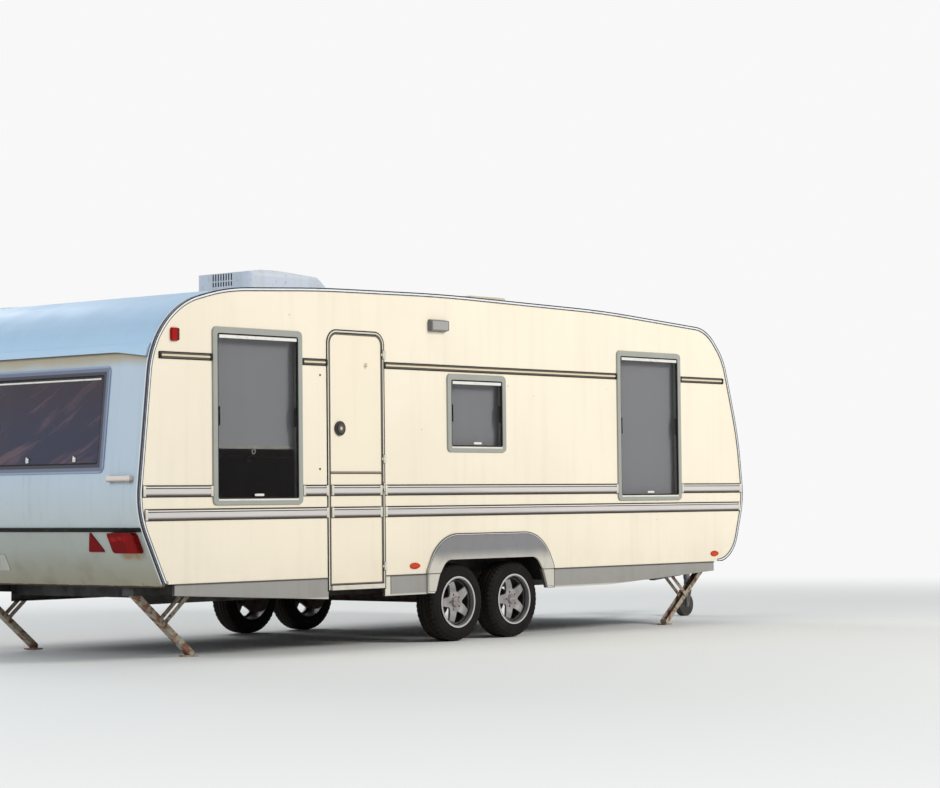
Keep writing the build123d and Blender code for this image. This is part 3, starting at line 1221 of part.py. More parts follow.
CASTOR_X = JOCKEY_X - JOCKEY_TRAIL
CROWN_X = JOCKEY_X - JOCKEY_TRAIL / 2
FORK_HALF = JOCKEY_WIDTH / 2 + JOCKEY_FORK_GAP
FORK_TOP_HALF = 38
FORK_FOOT = 18
with BuildPart() as jockey_fork:
    with Locations((CROWN_X, JOCKEY_Y, JOCKEY_CROWN + CROWN_THICK / 2)):
        Box(2 * FORK_TOP_HALF + 4, 2 * (FORK_HALF + JOCKEY_PLATE), CROWN_THICK)
    for way in (-1, 1):
        with BuildSketch(Plane.XZ.offset(-JOCKEY_Y - way * (FORK_HALF + JOCKEY_PLATE / 2))):
            with BuildLine():
                Polyline((CROWN_X - FORK_TOP_HALF, JOCKEY_CROWN + CROWN_THICK / 2),
                         (CASTOR_X - FORK_FOOT, JOCKEY_RADIUS - FORK_FOOT),
                         (CASTOR_X + FORK_FOOT, JOCKEY_RADIUS - FORK_FOOT),
                         (CROWN_X + FORK_TOP_HALF, JOCKEY_CROWN + CROWN_THICK / 2), close=True)
            make_face()
        extrude(amount=JOCKEY_PLATE / 2, both=True)
    with BuildSketch(Plane.XZ.offset(-JOCKEY_Y)):
        with Locations((CASTOR_X, JOCKEY_RADIUS)):
            Circle(JOCKEY_PIN)
    extrude(amount=FORK_HALF + JOCKEY_PLATE + 4, both=True)
save(jockey_fork.part, "jockey_fork")

with BuildPart() as jockey_wheel:
    with BuildSketch(Plane.XZ.offset(-JOCKEY_Y)):
        with Locations((CASTOR_X, JOCKEY_RADIUS)):
            Circle(JOCKEY_RADIUS)
            Circle(JOCKEY_PIN + SPINDLE_RUN, mode=Mode.SUBTRACT)
    extrude(amount=JOCKEY_WIDTH / 2, both=True)
save(jockey_wheel.part, "jockey_wheel")

# Corner steadies: channel brackets, each with its screw held between end plates
LEG_LENGTH = 2 * STEADY_ARM
LEG_TILT = math.asin((STEADY_PIVOT - STEADY_FOOT_RISE) / LEG_LENGTH)
BRACKET_BACK = 40
BRACKET_FAR = LEG_LENGTH * math.cos(math.radians(6)) + 45
BRACKET_LENGTH = BRACKET_FAR + BRACKET_BACK
BRACKET_HEIGHT = (BRACKET_BOTTOM + FLOOR_BOTTOM) / 2
BRACKET_TALL = FLOOR_BOTTOM - BRACKET_BOTTOM
SCREW_Z = STEADY_PIVOT + SCREW_RISE
with BuildPart() as steady_brackets:
    for steady_name, along, across, way in STEADIES:
        middle = along + way * (BRACKET_FAR - BRACKET_BACK) / 2
        with Locations((middle, across, BRACKET_HEIGHT)):
            Box(BRACKET_LENGTH, 2 * (BRACKET_HALF + BRACKET_PLATE), BRACKET_TALL)
        with Locations((middle, across, BRACKET_HEIGHT - BRACKET_PLATE)):
            Box(BRACKET_LENGTH - 2 * BRACKET_PLATE, 2 * BRACKET_HALF, BRACKET_TALL, mode=Mode.SUBTRACT)
        with BuildSketch(Plane.YZ.offset(middle)):
            with Locations((across, SCREW_Z)):
                Circle(SCREW_RADIUS)
        extrude(amount=BRACKET_LENGTH / 2, both=True)
        with BuildSketch(Plane.XZ.offset(-across)):
            with Locations((along, STEADY_PIVOT)):
                Circle(STEADY_PIN)
        extrude(amount=BRACKET_HALF + BRACKET_PLATE, both=True)
save(steady_brackets.part, "steady_brackets")

# Steady legs and braces
PIN_PROUD = 3
for steady_name, along, across, way in STEADIES:
    slope = Plane(origin=(along, across, STEADY_PIVOT),
                  x_dir=(way * math.cos(LEG_TILT), 0, -math.sin(LEG_TILT)), z_dir=(0, 1, 0))
    foot_x = along + way * LEG_LENGTH * math.cos(LEG_TILT)
    with BuildPart() as steady_leg:
        with BuildSketch(slope):
            with Locations((LEG_LENGTH / 2, 0)):
                SlotOverall(LEG_LENGTH + LEG_DEPTH, LEG_DEPTH)
        extrude(amount=LEG_HALF, both=True)
        with BuildSketch(slope):
            with Locations((LEG_LENGTH / 2, -way * LEG_PLATE)):
                Rectangle(LEG_LENGTH + 2 * LEG_DEPTH, LEG_DEPTH)
        extrude(amount=LEG_HALF - LEG_PLATE, both=True, mode=Mode.SUBTRACT)
        with BuildSketch(slope):
            Circle(STEADY_PIN + STEADY_PIN_RUN)
        extrude(amount=LEG_HALF, both=True, mode=Mode.SUBTRACT)
        with BuildSketch(slope):
            with Locations((STEADY_ARM, 0)):
                Circle(STEADY_PIN)
        extrude(amount=LEG_HALF + BRACE_GAP + BRACE_PLATE + PIN_PROUD, both=True)
        with BuildSketch(slope):
            with Locations((LEG_LENGTH, 0)):
                Circle(LEG_DEPTH / 2)
        extrude(amount=LEG_HALF, both=True)
        with Locations((foot_x, across, FOOT_THICK / 2)):
            Box(FOOT_LENGTH, FOOT_WIDTH, FOOT_THICK)
        with Locations((foot_x, across, FOOT_THICK + 5)):
            Box(30, 2 * LEG_HALF, 20)
    save(steady_leg.part, "steady_leg_" + steady_name)

    knee_x = along + way * STEADY_ARM * math.cos(LEG_TILT)
    knee_z = STEADY_PIVOT - STEADY_ARM * math.sin(LEG_TILT)
    rise = Plane(origin=(knee_x, across, knee_z),
                 x_dir=(way * math.cos(LEG_TILT), 0, math.sin(LEG_TILT)), z_dir=(0, 1, 0))
    with BuildPart() as steady_brace:
        for hand in (-1, 1):
            with BuildSketch(rise.offset(hand * (LEG_HALF + BRACE_GAP))):
                with Locations((STEADY_ARM / 2, 0)):
                    SlotOverall(STEADY_ARM + BRACE_DEPTH, BRACE_DEPTH)
                Circle(STEADY_PIN + STEADY_PIN_RUN, mode=Mode.SUBTRACT)
            extrude(amount=hand * BRACE_PLATE)
        with BuildSketch(rise):
            with Locations((STEADY_ARM, 0)):
                Circle(STEADY_PIN)
        extrude(amount=LEG_HALF + BRACE_GAP + BRACE_PLATE + PIN_PROUD, both=True)
        with BuildSketch(rise):
            with Locations((STEADY_ARM, 0)):
                Circle(STEADY_NUT)
        extrude(amount=STEADY_NUT, both=True)
    save(steady_brace.part, "steady_brace_" + steady_name)

# Roof air conditioner with its rear grille
AC_FRONT = AC_REAR + AC_LENGTH
AC_SEAT = roof_at(AC_REAR)
AC_TOP = AC_SEAT + AC_HEIGHT
GRILLE_TOP = AC_TOP - 28
GRILLE_ROWS = ((GRILLE_TOP - 26, 52), (GRILLE_TOP - 78, 36))
with BuildPart() as air_conditioner:
    with BuildSketch(Plane.XZ):
        with BuildLine():
            Polyline((AC_REAR, AC_SEAT - 20), (AC_REAR, AC_TOP - 25), (AC_REAR + 130, AC_TOP - 6),
                     (AC_REAR + 300, AC_TOP), (AC_FRONT - 130, AC_TOP - 32), (AC_FRONT - 30, AC_TOP - 105),
                     (AC_FRONT, AC_SEAT - 20), close=True)
        make_face()
        add(side_profile.sketch, mode=Mode.SUBTRACT)
    extrude(amount=AC_HALF_WIDTH, both=True)
    with BuildSketch(Plane.XY.offset(AC_SEAT - 20)):
        with Locations(((AC_REAR + AC_FRONT) / 2, 0)):
            RectangleRounded(AC_LENGTH, 2 * AC_HALF_WIDTH, AC_CORNER)
    extrude(amount=AC_HEIGHT + 40, mode=Mode.INTERSECT)
    with BuildSketch(Plane.YZ.offset(AC_REAR)):
        with Locations((0, AC_SEAT)):
            RectangleRounded(2 * AC_HALF_WIDTH, 2 * AC_HEIGHT, AC_CORNER)
    extrude(amount=AC_LENGTH, mode=Mode.INTERSECT)
    for height, tall in GRILLE_ROWS:
        with BuildSketch(Plane.YZ.offset(AC_REAR)):
            with Locations((0, height)):
                with GridLocations(GRILLE_PITCH, tall, GRILLE_SLOTS, 1):
                    RectangleRounded(GRILLE_SLOT, tall, GRILLE_SLOT / 3)
        extrude(amount=GRILLE_DEPTH, mode=Mode.SUBTRACT)
save(air_conditioner.part, "air_conditioner")

# Roof vent: base with the fixed halves of the hinges, and the lid
VENT_SEAT = roof_at(VENT_X) + VENT_RISE
VENT_RUN = 0.3
VENT_AXIS_X = VENT_X - VENT_LENGTH / 2 - 7
VENT_AXIS_Z = VENT_SEAT + 1
VENT_HINGES = (VENT_Y - 120, VENT_Y + 120)
with BuildPart() as vent_base:
    with BuildSketch(Plane.XZ.offset(-VENT_Y)):
        with Locations((VENT_X, VENT_SEAT - VENT_RISE)):
            Rectangle(VENT_LENGTH, 2 * VENT_RISE)
        add(side_profile.sketch, mode=Mode.SUBTRACT)
    extrude(amount=VENT_WIDTH / 2, both=True)
    with Locations((VENT_X, VENT_Y, VENT_SEAT)):
        Box(VENT_LENGTH - 2 * VENT_WALL, VENT_WIDTH - 2 * VENT_WALL, 4 * VENT_RISE, mode=Mode.SUBTRACT)
    for across in VENT_HINGES:
        for way in (-1, 1):
            middle = across + way * (VENT_BARREL + VENT_KNUCKLE + 2 * HINGE_GAP) / 4
            width = (VENT_BARREL - VENT_KNUCKLE - 2 * HINGE_GAP) / 2
            with BuildSketch(Plane.XZ.offset(-middle)):
                with Locations((VENT_AXIS_X + 1, VENT_SEAT - 12)):
                    Rectangle(14, 16)
                with Locations((VENT_AXIS_X, VENT_AXIS_Z)):
                    Circle(HINGE_RADIUS)
                    Circle(HINGE_PIN + HINGE_RUN, mode=Mode.SUBTRACT)
            extrude(amount=width / 2, both=True)
save(vent_base.part, "vent_base")

with BuildPart() as vent_lid:
    with BuildSketch(Plane.XY.offset(VENT_SEAT + VENT_RUN)):
        with Locations((VENT_X, VENT_Y)):
            RectangleRounded(VENT_LENGTH, VENT_WIDTH, 40)
    extrude(amount=VENT_LID, taper=25)
    for across in VENT_HINGES:
        with BuildSketch(Plane.XZ.offset(-across)):
            with Locations((VENT_AXIS_X + 9, VENT_AXIS_Z + 2)):
                Rectangle(18, 5)
            with Locations((VENT_AXIS_X, VENT_AXIS_Z)):
                Circle(HINGE_RADIUS)
        extrude(amount=VENT_KNUCKLE / 2, both=True)
        with BuildSketch(Plane.XZ.offset(-across)):
            with Locations((VENT_AXIS_X, VENT_AXIS_Z)):
                Circle(HINGE_PIN)
        extrude(amount=VENT_BARREL / 2, both=True)
save(vent_lid.part, "vent_lid")

# Rear lamps, triangles and side markers
LAMP_CORNER = 22
with BuildPart() as lamp_clusters:
    extrude(end_band(-1, lamp_profile, side_profile.sketch, LAMP_BOTTOM, LAMP_TOP),
            amount=LAMP_MID + LAMP_HALF, both=True)
    with BuildSketch(Plane.YZ.offset(PROFILE_REAR)):
        for side_name, side in SIDES:
            with Locations((side * LAMP_MID, (LAMP_BOTTOM + LAMP_TOP) / 2)):
                RectangleRounded(2 * LAMP_HALF, LAMP_TOP - LAMP_BOTTOM, LAMP_CORNER)
    extrude(amount=600, mode=Mode.INTERSECT)

with BuildPart() as triangles:
    extrude(end_band(-1, reflector_profile, side_profile.sketch, TRIANGLE_BOTTOM, TRIANGLE_BOTTOM + TRIANGLE_TALL),
            amount=TRIANGLE_MID + TRIANGLE_HALF, both=True)
    with BuildSketch(Plane.YZ.offset(PROFILE_REAR)) as triangle_faces:
        for side_name, side in SIDES:
            with BuildLine():
                Polyline((side * TRIANGLE_MID - TRIANGLE_HALF, TRIANGLE_BOTTOM),
                         (side * TRIANGLE_MID + TRIANGLE_HALF, TRIANGLE_BOTTOM),
                         (side * TRIANGLE_MID, TRIANGLE_BOTTOM + TRIANGLE_TALL), close=True)
            make_face()
        fillet(triangle_faces.vertices(), radius=8)
    extrude(amount=600, mode=Mode.INTERSECT)

with BuildPart() as rear_lamps:
    add(lamp_clusters.part)
    add(triangles.part)
    for side_name, side in SIDES:
        with BuildSketch(outward(side, MARKER_ALONG, HALF_WIDTH, MARKER_HEIGHT)):
            RectangleRounded(72, 91, 14)
        extrude(amount=20, taper=12)
save(rear_lamps.part, "rear_lamps")

# Oval reflectors low on the sides
with BuildPart() as side_reflectors:
    for side_name, side in SIDES:
        for along, height in REFLECTOR_PLACES:
            for proud, inset in ((0, 0), (REFLECTOR_PROUD, 3)):
                with BuildSketch(outward(side, along, HALF_WIDTH + proud, height)):
                    Ellipse(REFLECTOR_LENGTH / 2 - inset, REFLECTOR_TALL / 2 - inset)
            loft()
save(side_reflectors.part, "side_reflectors")

# Awning lamp over the door side
with BuildPart() as awning_lamp:
    with BuildSketch(outward(-1, LAMP_X, HALF_WIDTH, LAMP_Z)):
        RectangleRounded(207, 92, 18)
    extrude(amount=40, taper=12)
save(awning_lamp.part, "awning_lamp")

# Grab handles at the rear corners
HANDLE_BAR = 14
HANDLE_TALL = 26
HANDLE_FOOT = 44
HANDLE_FOOT_TALL = 44
with BuildPart() as grab_handles:
    extrude(end_band(-1, grown_profile(HANDLE_PROUD), side_profile.sketch, HANDLE_HEIGHT - HANDLE_FOOT_TALL / 2,
                     HANDLE_HEIGHT + HANDLE_FOOT_TALL / 2), amount=HANDLE_MID + HANDLE_HALF, both=True)
    with BuildSketch(Plane.YZ.offset(PROFILE_REAR)):
        for side_name, side in SIDES:
            for way in (-1, 1):
                with Locations((side * HANDLE_MID + way * (HANDLE_HALF - HANDLE_FOOT / 2), HANDLE_HEIGHT)):
                    RectangleRounded(HANDLE_FOOT, HANDLE_FOOT_TALL, 12)
    extrude(amount=600, mode=Mode.INTERSECT)
    bars = end_band(-1, grown_profile(HANDLE_PROUD), grown_profile(HANDLE_PROUD - HANDLE_BAR),
                    HANDLE_HEIGHT - HANDLE_TALL / 2, HANDLE_HEIGHT + HANDLE_TALL / 2)
    for side_name, side in SIDES:
        extrude(Pos(0, side * HANDLE_MID, 0) * bars, amount=HANDLE_HALF - HANDLE_FOOT / 2, both=True)
save(grab_handles.part, "grab_handles")

# Blank number plate
PLATE_PROUD = 4
with BuildPart() as number_plate:
    extrude(Pos(0, PLATE_MID, 0) * end_band(-1, grown_profile(PLATE_PROUD), side_profile.sketch, PLATE_BOTTOM,
                                            PLATE_BOTTOM + PLATE_TALL), amount=PLATE_LENGTH / 2, both=True)
save(number_plate.part, "number_plate")
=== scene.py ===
"""The looks of the travel caravan: paint, glass, rubber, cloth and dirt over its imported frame."""

import json
import math

import bmesh
import bpy
from mathutils import Matrix, Vector


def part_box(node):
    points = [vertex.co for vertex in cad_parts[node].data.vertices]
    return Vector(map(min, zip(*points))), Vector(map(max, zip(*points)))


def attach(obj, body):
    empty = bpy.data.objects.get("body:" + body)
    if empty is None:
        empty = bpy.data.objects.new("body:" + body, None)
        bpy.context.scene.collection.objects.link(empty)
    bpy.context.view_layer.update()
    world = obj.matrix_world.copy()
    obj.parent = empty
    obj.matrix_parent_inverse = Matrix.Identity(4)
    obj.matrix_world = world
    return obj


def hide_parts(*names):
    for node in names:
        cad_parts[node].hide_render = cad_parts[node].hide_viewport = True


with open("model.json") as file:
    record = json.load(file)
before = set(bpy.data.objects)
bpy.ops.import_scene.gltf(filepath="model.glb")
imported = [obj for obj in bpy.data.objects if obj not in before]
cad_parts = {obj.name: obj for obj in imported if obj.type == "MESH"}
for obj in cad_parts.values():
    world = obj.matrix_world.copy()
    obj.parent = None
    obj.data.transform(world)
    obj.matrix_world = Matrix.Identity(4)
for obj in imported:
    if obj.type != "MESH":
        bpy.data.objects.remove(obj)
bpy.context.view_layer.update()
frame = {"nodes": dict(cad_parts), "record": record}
nodes = frame["nodes"]
scene = bpy.context.scene

# The photograph's camera
CAMERA_PLACE = (-15.569, -14.05, 1.0665)
CAMERA_TURN_DEGREES = (92.3235, 0.58745, -49.18888)
CAMERA_LENS = 99.245

# Places read from the frame
CAR = "caravan"
WHEELS = ("rear_right", "rear_left", "front_right", "front_left")
WHEEL_BOXES = {name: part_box("tyre_" + name) for name in WHEELS}
WHEEL_CENTRES = {name: (low + high) / 2 for name, (low, high) in WHEEL_BOXES.items()}
TYRE_RADIUS = WHEEL_CENTRES["rear_right"].z
TYRE_HALF = (WHEEL_BOXES["rear_right"][1].y - WHEEL_BOXES["rear_right"][0].y) / 2
AXLE_MID = (WHEEL_CENTRES["rear_right"].x + WHEEL_CENTRES["front_right"].x) / 2
AXLE_HALF = (WHEEL_CENTRES["front_right"].x - WHEEL_CENTRES["rear_right"].x) / 2
WHEEL_OUTSIDE = WHEEL_BOXES["rear_left"][1].y
WALL_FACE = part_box("side_wall_left")[1].y
WALL_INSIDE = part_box("side_wall_left")[0].y
WAIST_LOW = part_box("waist_trim")[0].z
PANEL_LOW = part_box("rear_lower_panel")[0].z
REAR_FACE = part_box("rear_wall")[0].x
REAR_PANE_BACK = REAR_FACE + 0.25
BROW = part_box("rear_wall")[1].z
DOOR_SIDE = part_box("door_frame")[1].x
SKIRT_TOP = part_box("skirts")[1].z
# Top of the painted shadow line along the skirts
SKIRT_SHADOW_LINE = SKIRT_TOP - 0.009
TRIM_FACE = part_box("edge_trims")[1].y

# Heights of the mouldings and of the drip rails along the sides
LOWER_MOULDING = 0.982
MOULDING_STEP = 0.157
RAIL_HEIGHT = 2.048
RAIL_LOWEST = 1.9

# Lamps, reflectors and the door handle
LAMP_ACROSS = 1.039
LAMP_LOW = 0.728
LAMP_INNER = 0.86
MARKER_MID = -3.752
MARKER_LOWEST = 2.0
REFLECTOR_HEIGHT = 0.583
HANDLE_PLACE = (-2.165, 1.581)
KNOB_LOWEST = 1.9
WEATHER_BEAD_TOP = 1.4

# Distances from the middle plane of the door's bead, its frame's face, the step in the arch trims and the
# window stays, with half the stays' depth
DOOR_BEAD = 1.252
DOOR_FRAME_FACE = 1.254
ARCH_STEP = 1.2595
STAY_MID = 1.2
STAY_HALF = 0.047

# Where a colour ends and the next is full: heights, or distances from the middle of a wheel or of the handle
ROOF_LIP = (2.3, 2.08)
ROOF_TOP = (2.4, 2.6)
SKIRT_EDGE = (0.386, 0.378)
FLOOR_UNDERSIDE = (0.53, 0.52)
RIM_LIP = (0.1835, 0.186)
HUB = (0.046, 0.04)
HANDLE_RING = (0.034, 0.031)
HANDLE_LOCK = (0.015, 0.011)

# Rear window inside its frame
REAR_WINDOW_HALF = 0.878
REAR_WINDOW_TOP = 1.984
REAR_WINDOW_FOOT = 1.267

# Hitch: the rubber gaiter on its shaft and the grip of the brake lever
GAITER_MID = 3.758
GAITER_HALF = 0.082
GAITER_RADIUS = 0.04
LEVER_GRIP_FOOT = 0.655

# How deep the outer colours reach behind the face of a wall
SKIN_DEPTH = 0.004


def linear(colour):
    """A colour in screen values, 0 to 255, as the linear colour that a shader takes."""
    parts = []
    for value in colour:
        value = value / 255
        parts.append(value / 12.92 if value <= 0.04045 else ((value + 0.055) / 1.055) ** 2.4)
    return (*parts, 1.0)


# Colours of dirt that also stands as painted shade, of dark joints that also stand as painted shadow lines,
# of the cabin's painted shade and of rust, in screen values like all colours of Paint
SOOT_AND_SHADE = (38, 33, 30)
JOINT_AND_SHADOW_LINE = (44, 37, 34)
CABIN_SHADE = (84, 62, 46)
GRIME = (118, 102, 82)
MOSS = (120, 122, 96)
RUST = (122, 62, 30)
DARK_RUST = (66, 36, 24)


class Paint:
    """A procedural material while it is put together: its colour, roughness and relief so far.

    Places are read in the frame's metres, and aside is the distance from the car's middle plane.
    """

    def __init__(self, name, colour, roughness, metallic=0.0, specular=0.5, **fixed):
        self.material = bpy.data.materials.new(name)
        self.material.use_nodes = True
        self.tree = self.material.node_tree
        self.shader = self.tree.nodes["Principled BSDF"]
        self.plug(self.shader, {"Metallic": metallic, "Specular IOR Level": specular})
        self.plug(self.shader, {key.replace("_", " "): value for key, value in fixed.items()})
        self.colour = linear(colour)
        self.roughness = roughness
        self.alpha = None
        self.normal = None
        self.place = self.add("TexCoord").outputs["Object"]
        self.x, self.y, self.z = self.add("SeparateXYZ", {0: self.place}).outputs
        self.aside = self.maths("ABSOLUTE", self.y)

    def plug(self, node, inputs):
        """Sets inputs of a node, or links them to outputs of other nodes. None leaves one as it is."""
        for key, value in inputs.items():
            if isinstance(value, bpy.types.NodeSocket):
                self.tree.links.new(value, node.inputs[key])
            elif value is not None:
                node.inputs[key].default_value = value

    def add(self, kind, inputs=None, **settings):
        made = self.tree.nodes.new("ShaderNode" + kind)
        for key, value in settings.items():
            setattr(made, key, value)
        self.plug(made, inputs or {})
        return made

    def noise(self, scale, detail, stretch=None, distortion=0.0):
        place = self.place
        if stretch:
            place = self.add("Mapping", {0: place, 3: stretch}).outputs[0]
        settings = {"Vector": place, "Scale": scale, "Detail": detail, "Distortion": distortion}
        return self.add("TexNoise", settings).outputs[0]

    def cells(self, scale):
        return self.add("TexVoronoi", {"Vector": self.place, "Scale": scale}).outputs["Distance"]

    def checks(self, scale):
        return self.add("TexChecker", {"Vector": self.place, "Scale": scale}).outputs["Fac"]

    def patches(self, low, high, *noise):
        """Soft patches where the noise rises from low to high."""
        return self.ramp(self.noise(*noise), low, high)

    def uneven_height(self, swing, *noise):
        """Height that noise pushes up by as much as swing."""
        return self.plus(self.z, self.times(self.noise(*noise), swing))

    def ramp(self, value, low, high):
        """0 at low and 1 at high, with a soft start and end. Low may be the larger."""
        settings = {"Value": value, "From Min": low, "From Max": high}
        return self.add("MapRange", settings, interpolation_type="SMOOTHSTEP").outputs[0]

    def rise(self, low, high):
        """0 at the height low and 1 at the height high."""
        return self.ramp(self.z, low, high)

    def maths(self, operation, first, second=0.0):
        return self.add("Math", {0: first, 1: second}, operation=operation).outputs[0]

    def times(self, first, second):
        return self.maths("MULTIPLY", first, second)

    def plus(self, first, second):
        return self.maths("ADD", first, second)

    def minus(self, first, second):
        return self.maths("SUBTRACT", first, second)

    def reach(self, along, up):
        """Length of the way that goes that far along and up."""
        return self.maths("SQRT", self.plus(self.times(along, along), self.times(up, up)))

    def near(self, value, middle, half, soft=0.002):
        """1 within half of middle, falling to 0 over soft."""
        away = self.maths("ABSOLUTE", self.minus(value, middle))
        return self.ramp(away, half + soft, half)

    def creases(self, reach):
        """1 deep in a crease and 0 in the open, for the painted shade and the dirt that gather beside trims.
        """
        open_share = self.add("AmbientOcclusion", {"Distance": reach}, samples=4).outputs["AO"]
        return self.ramp(open_share, 0.62, 0.3)

    def coat(self, mask, colour, amount=1.0):
        if amount != 1.0:
            mask = self.times(mask, amount)
        mixed = self.add("Mix", {0: mask, 6: self.colour, 7: linear(colour)}, data_type="RGBA")
        self.colour = mixed.outputs[2]

    def mottle(self, colour, amount, low, high, *noise):
        """Patches of another colour."""
        self.coat(self.patches(low, high, *noise), colour, amount)

    def crease_dirt_and_shade(self, reach, amount, colour=SOOT_AND_SHADE):
        """Dirt and painted shade in the creases."""
        self.coat(self.creases(reach), colour, amount)

    def polish(self, mask, roughness):
        self.roughness = self.add("Mix", {0: mask, 2: self.roughness, 3: roughness}).outputs[0]

    def relief(self, height, distance, strength):
        inputs = {"Strength": strength, "Distance": distance, "Height": height, "Normal": self.normal}
        self.normal = self.add("Bump", inputs).outputs[0]

    def grain(self, distance, strength, *noise):
        self.relief(self.noise(*noise), distance, strength)

    def done(self):
        self.plug(self.shader, {"Base Color": self.colour, "Roughness": self.roughness,
                                "Alpha": self.alpha, "Normal": self.normal})
        return self.material


materials = {}


def look(*base, slot=None, **fixed):
    """Makes the material of a slot, which the function under it coats. Most are named after their slot."""
    def make(coat):
        name = slot or coat.__name__
        paint = Paint(name, *base, **fixed)
        coat(paint)
        materials[name] = paint.done()
        return coat
    return make


def weather(paint, streak, grime, low, high, crease=0.012):
    """Rain streaks, soft patches of colour, grime towards the bottom, and dirt and painted shade in the
    creases.
    """
    runs = paint.patches(0.48, 0.72, 1.0, 3.0, (11.0, 11.0, 0.7))
    paint.coat(runs, GRIME, streak)
    patches = paint.patches(0.35, 0.7, 1.3, 4.0)
    paint.coat(patches, GRIME, 0.05)
    lower = paint.times(paint.rise(high, low), paint.patches(0.2, 0.75, 5.0, 5.0))
    paint.coat(lower, GRIME, grime)
    paint.crease_dirt_and_shade(crease, 0.8)
    paint.polish(paint.patches(0.3, 0.7, 3.0, 3.0), 0.5)


def behind_face(paint, depth=SKIN_DEPTH):
    """1 on what lies that much behind the outer face of the side walls, on both sides."""
    return paint.ramp(paint.aside, WALL_FACE - depth, WALL_FACE - depth - 0.003)


def shade_cabin_faces(paint):
    """Dark brown painted shade on the faces of the roof and of the end walls that look into the cabin."""
    normal = paint.add("NewGeometry").outputs["Normal"]
    along, _, up = paint.add("SeparateXYZ", {0: normal}).outputs
    inward = paint.ramp(paint.times(along, paint.x), -0.8, -1.2)
    paint.coat(inward, CABIN_SHADE)
    ceiling_shade = paint.times(paint.ramp(up, -0.25, -0.35), paint.rise(RAIL_LOWEST, RAIL_LOWEST + 0.05))
    paint.coat(ceiling_shade, CABIN_SHADE)


@look((240, 229, 208), 0.36, slot="side_cream", Coat_Weight=0.15, Coat_Roughness=0.2)
@look((238, 226, 204), 0.36, slot="door_cream", Coat_Weight=0.15, Coat_Roughness=0.2)
def cream_sheet(paint):
    """Cream sheet with a few dark specks, and a dark bead at the edge of the doorway."""
    weather(paint, 0.04, 0.08, 0.5, 0.8, 0.02)
    specks = paint.times(paint.ramp(paint.cells(6.0), 0.05, 0.02), paint.patches(0.5, 0.6, 2.0, 3.0))
    paint.coat(specks, GRIME, 0.5)
    paint.grain(0.004, 0.35, 2.2, 2.0)
    paint.grain(0.0004, 0.25, 160.0, 2.0)
    # Painted shade on the faces behind the wall's outer face
    paint.coat(behind_face(paint), CABIN_SHADE)
    bead = paint.near(paint.aside, DOOR_BEAD, 0.0008, 0.0004)
    paint.coat(paint.times(bead, paint.ramp(paint.x, DOOR_SIDE, DOOR_SIDE - 0.004)), JOINT_AND_SHADOW_LINE, 0.9)


@look((172, 201, 225), 0.6, specular=0.3)
def shell_white(paint):
    """The roof: white painted light blue as in the sky's shade, painted paler where it turns down to the
    rear window, with a film of moss on top.
    """
    weather(paint, 0.05, 0.0, 1.2, 2.4, 0.024)
    paint.mottle((162, 192, 219), 0.5, 0.35, 0.7, 0.8, 3.0, (1.0, 1.0, 0.5))
    # Painted light: paler where the roof turns down
    turned_down_light = paint.rise(*ROOF_LIP)
    paint.coat(turned_down_light, (184, 212, 233), 0.7)
    top = paint.rise(*ROOF_TOP)
    paint.coat(paint.times(top, paint.patches(0.5, 0.8, 4.0, 6.0)), MOSS, 0.2)
    paint.grain(0.0006, 0.3, 120.0, 3.0)
    shade_cabin_faces(paint)


@look((186, 200, 212), 0.5, specular=0.3)
def panel_white(paint):
    """The end walls: white painted blue-grey as in shade, with an ochre painted shade under the roof's lip.
    """
    weather(paint, 0.05, 0.1, 0.9, 1.2, 0.02)
    shade = paint.ramp(paint.uneven_height(0.06, 2.5, 3.0), BROW - 0.09, BROW)
    paint.coat(shade, (172, 154, 112), 0.75)
    foot = paint.rise(1.35, 0.9)
    paint.coat(foot, (190, 196, 190), 0.6)
    runs = paint.patches(0.58, 0.8, 1.0, 2.0, (26.0, 26.0, 0.5))
    paint.coat(paint.times(runs, paint.rise(1.9, 1.2)), GRIME, 0.1)
    paint.grain(0.0005, 0.3, 140.0, 3.0)
    shade_cabin_faces(paint)


@look((172, 177, 170), 0.5, specular=0.3)
def rear_lower_white(paint):
    """The rear panel under the waist, which goes beige towards its dark lip."""
    span = WAIST_LOW - PANEL_LOW
    weather(paint, 0.08, 0.0, 0.5, 0.9, 0.02)
    depth = paint.rise(WAIST_LOW - 0.1 * span, PANEL_LOW)
    paint.coat(depth, (152, 145, 122), 0.85)
    blotches = paint.patches(0.45, 0.75, 4.0, 6.0)
    paint.coat(paint.times(depth, blotches), (120, 111, 90), 0.5)
    under_lamp = paint.near(paint.aside, LAMP_ACROSS, 0.05, 0.09)
    stain = paint.times(under_lamp, paint.near(paint.z, LAMP_LOW - 0.015, 0.012, 0.03))
    paint.coat(paint.times(stain, paint.patches(0.3, 0.6, 20.0, 4.0)), (172, 128, 60), 0.7)
    drips = paint.patches(0.62, 0.74, 1.0, 3.0, (38.0, 38.0, 2.4))
    paint.coat(paint.times(drips, paint.rise(PANEL_LOW + 0.06, PANEL_LOW)), RUST, 0.6)
    lip = paint.ramp(paint.uneven_height(0.012, 16.0, 5.0),
                     PANEL_LOW + 0.02, PANEL_LOW + 0.014)
    paint.coat(lip, DARK_RUST, 0.92)
    spots = paint.ramp(paint.cells(24.0), 0.09, 0.04)
    paint.coat(paint.times(spots, paint.rise(PANEL_LOW + 0.12, PANEL_LOW + 0.03)), SOOT_AND_SHADE, 0.7)
    paint.polish(lip, 0.85)
    paint.grain(0.0008, 0.4, 110.0, 4.0)


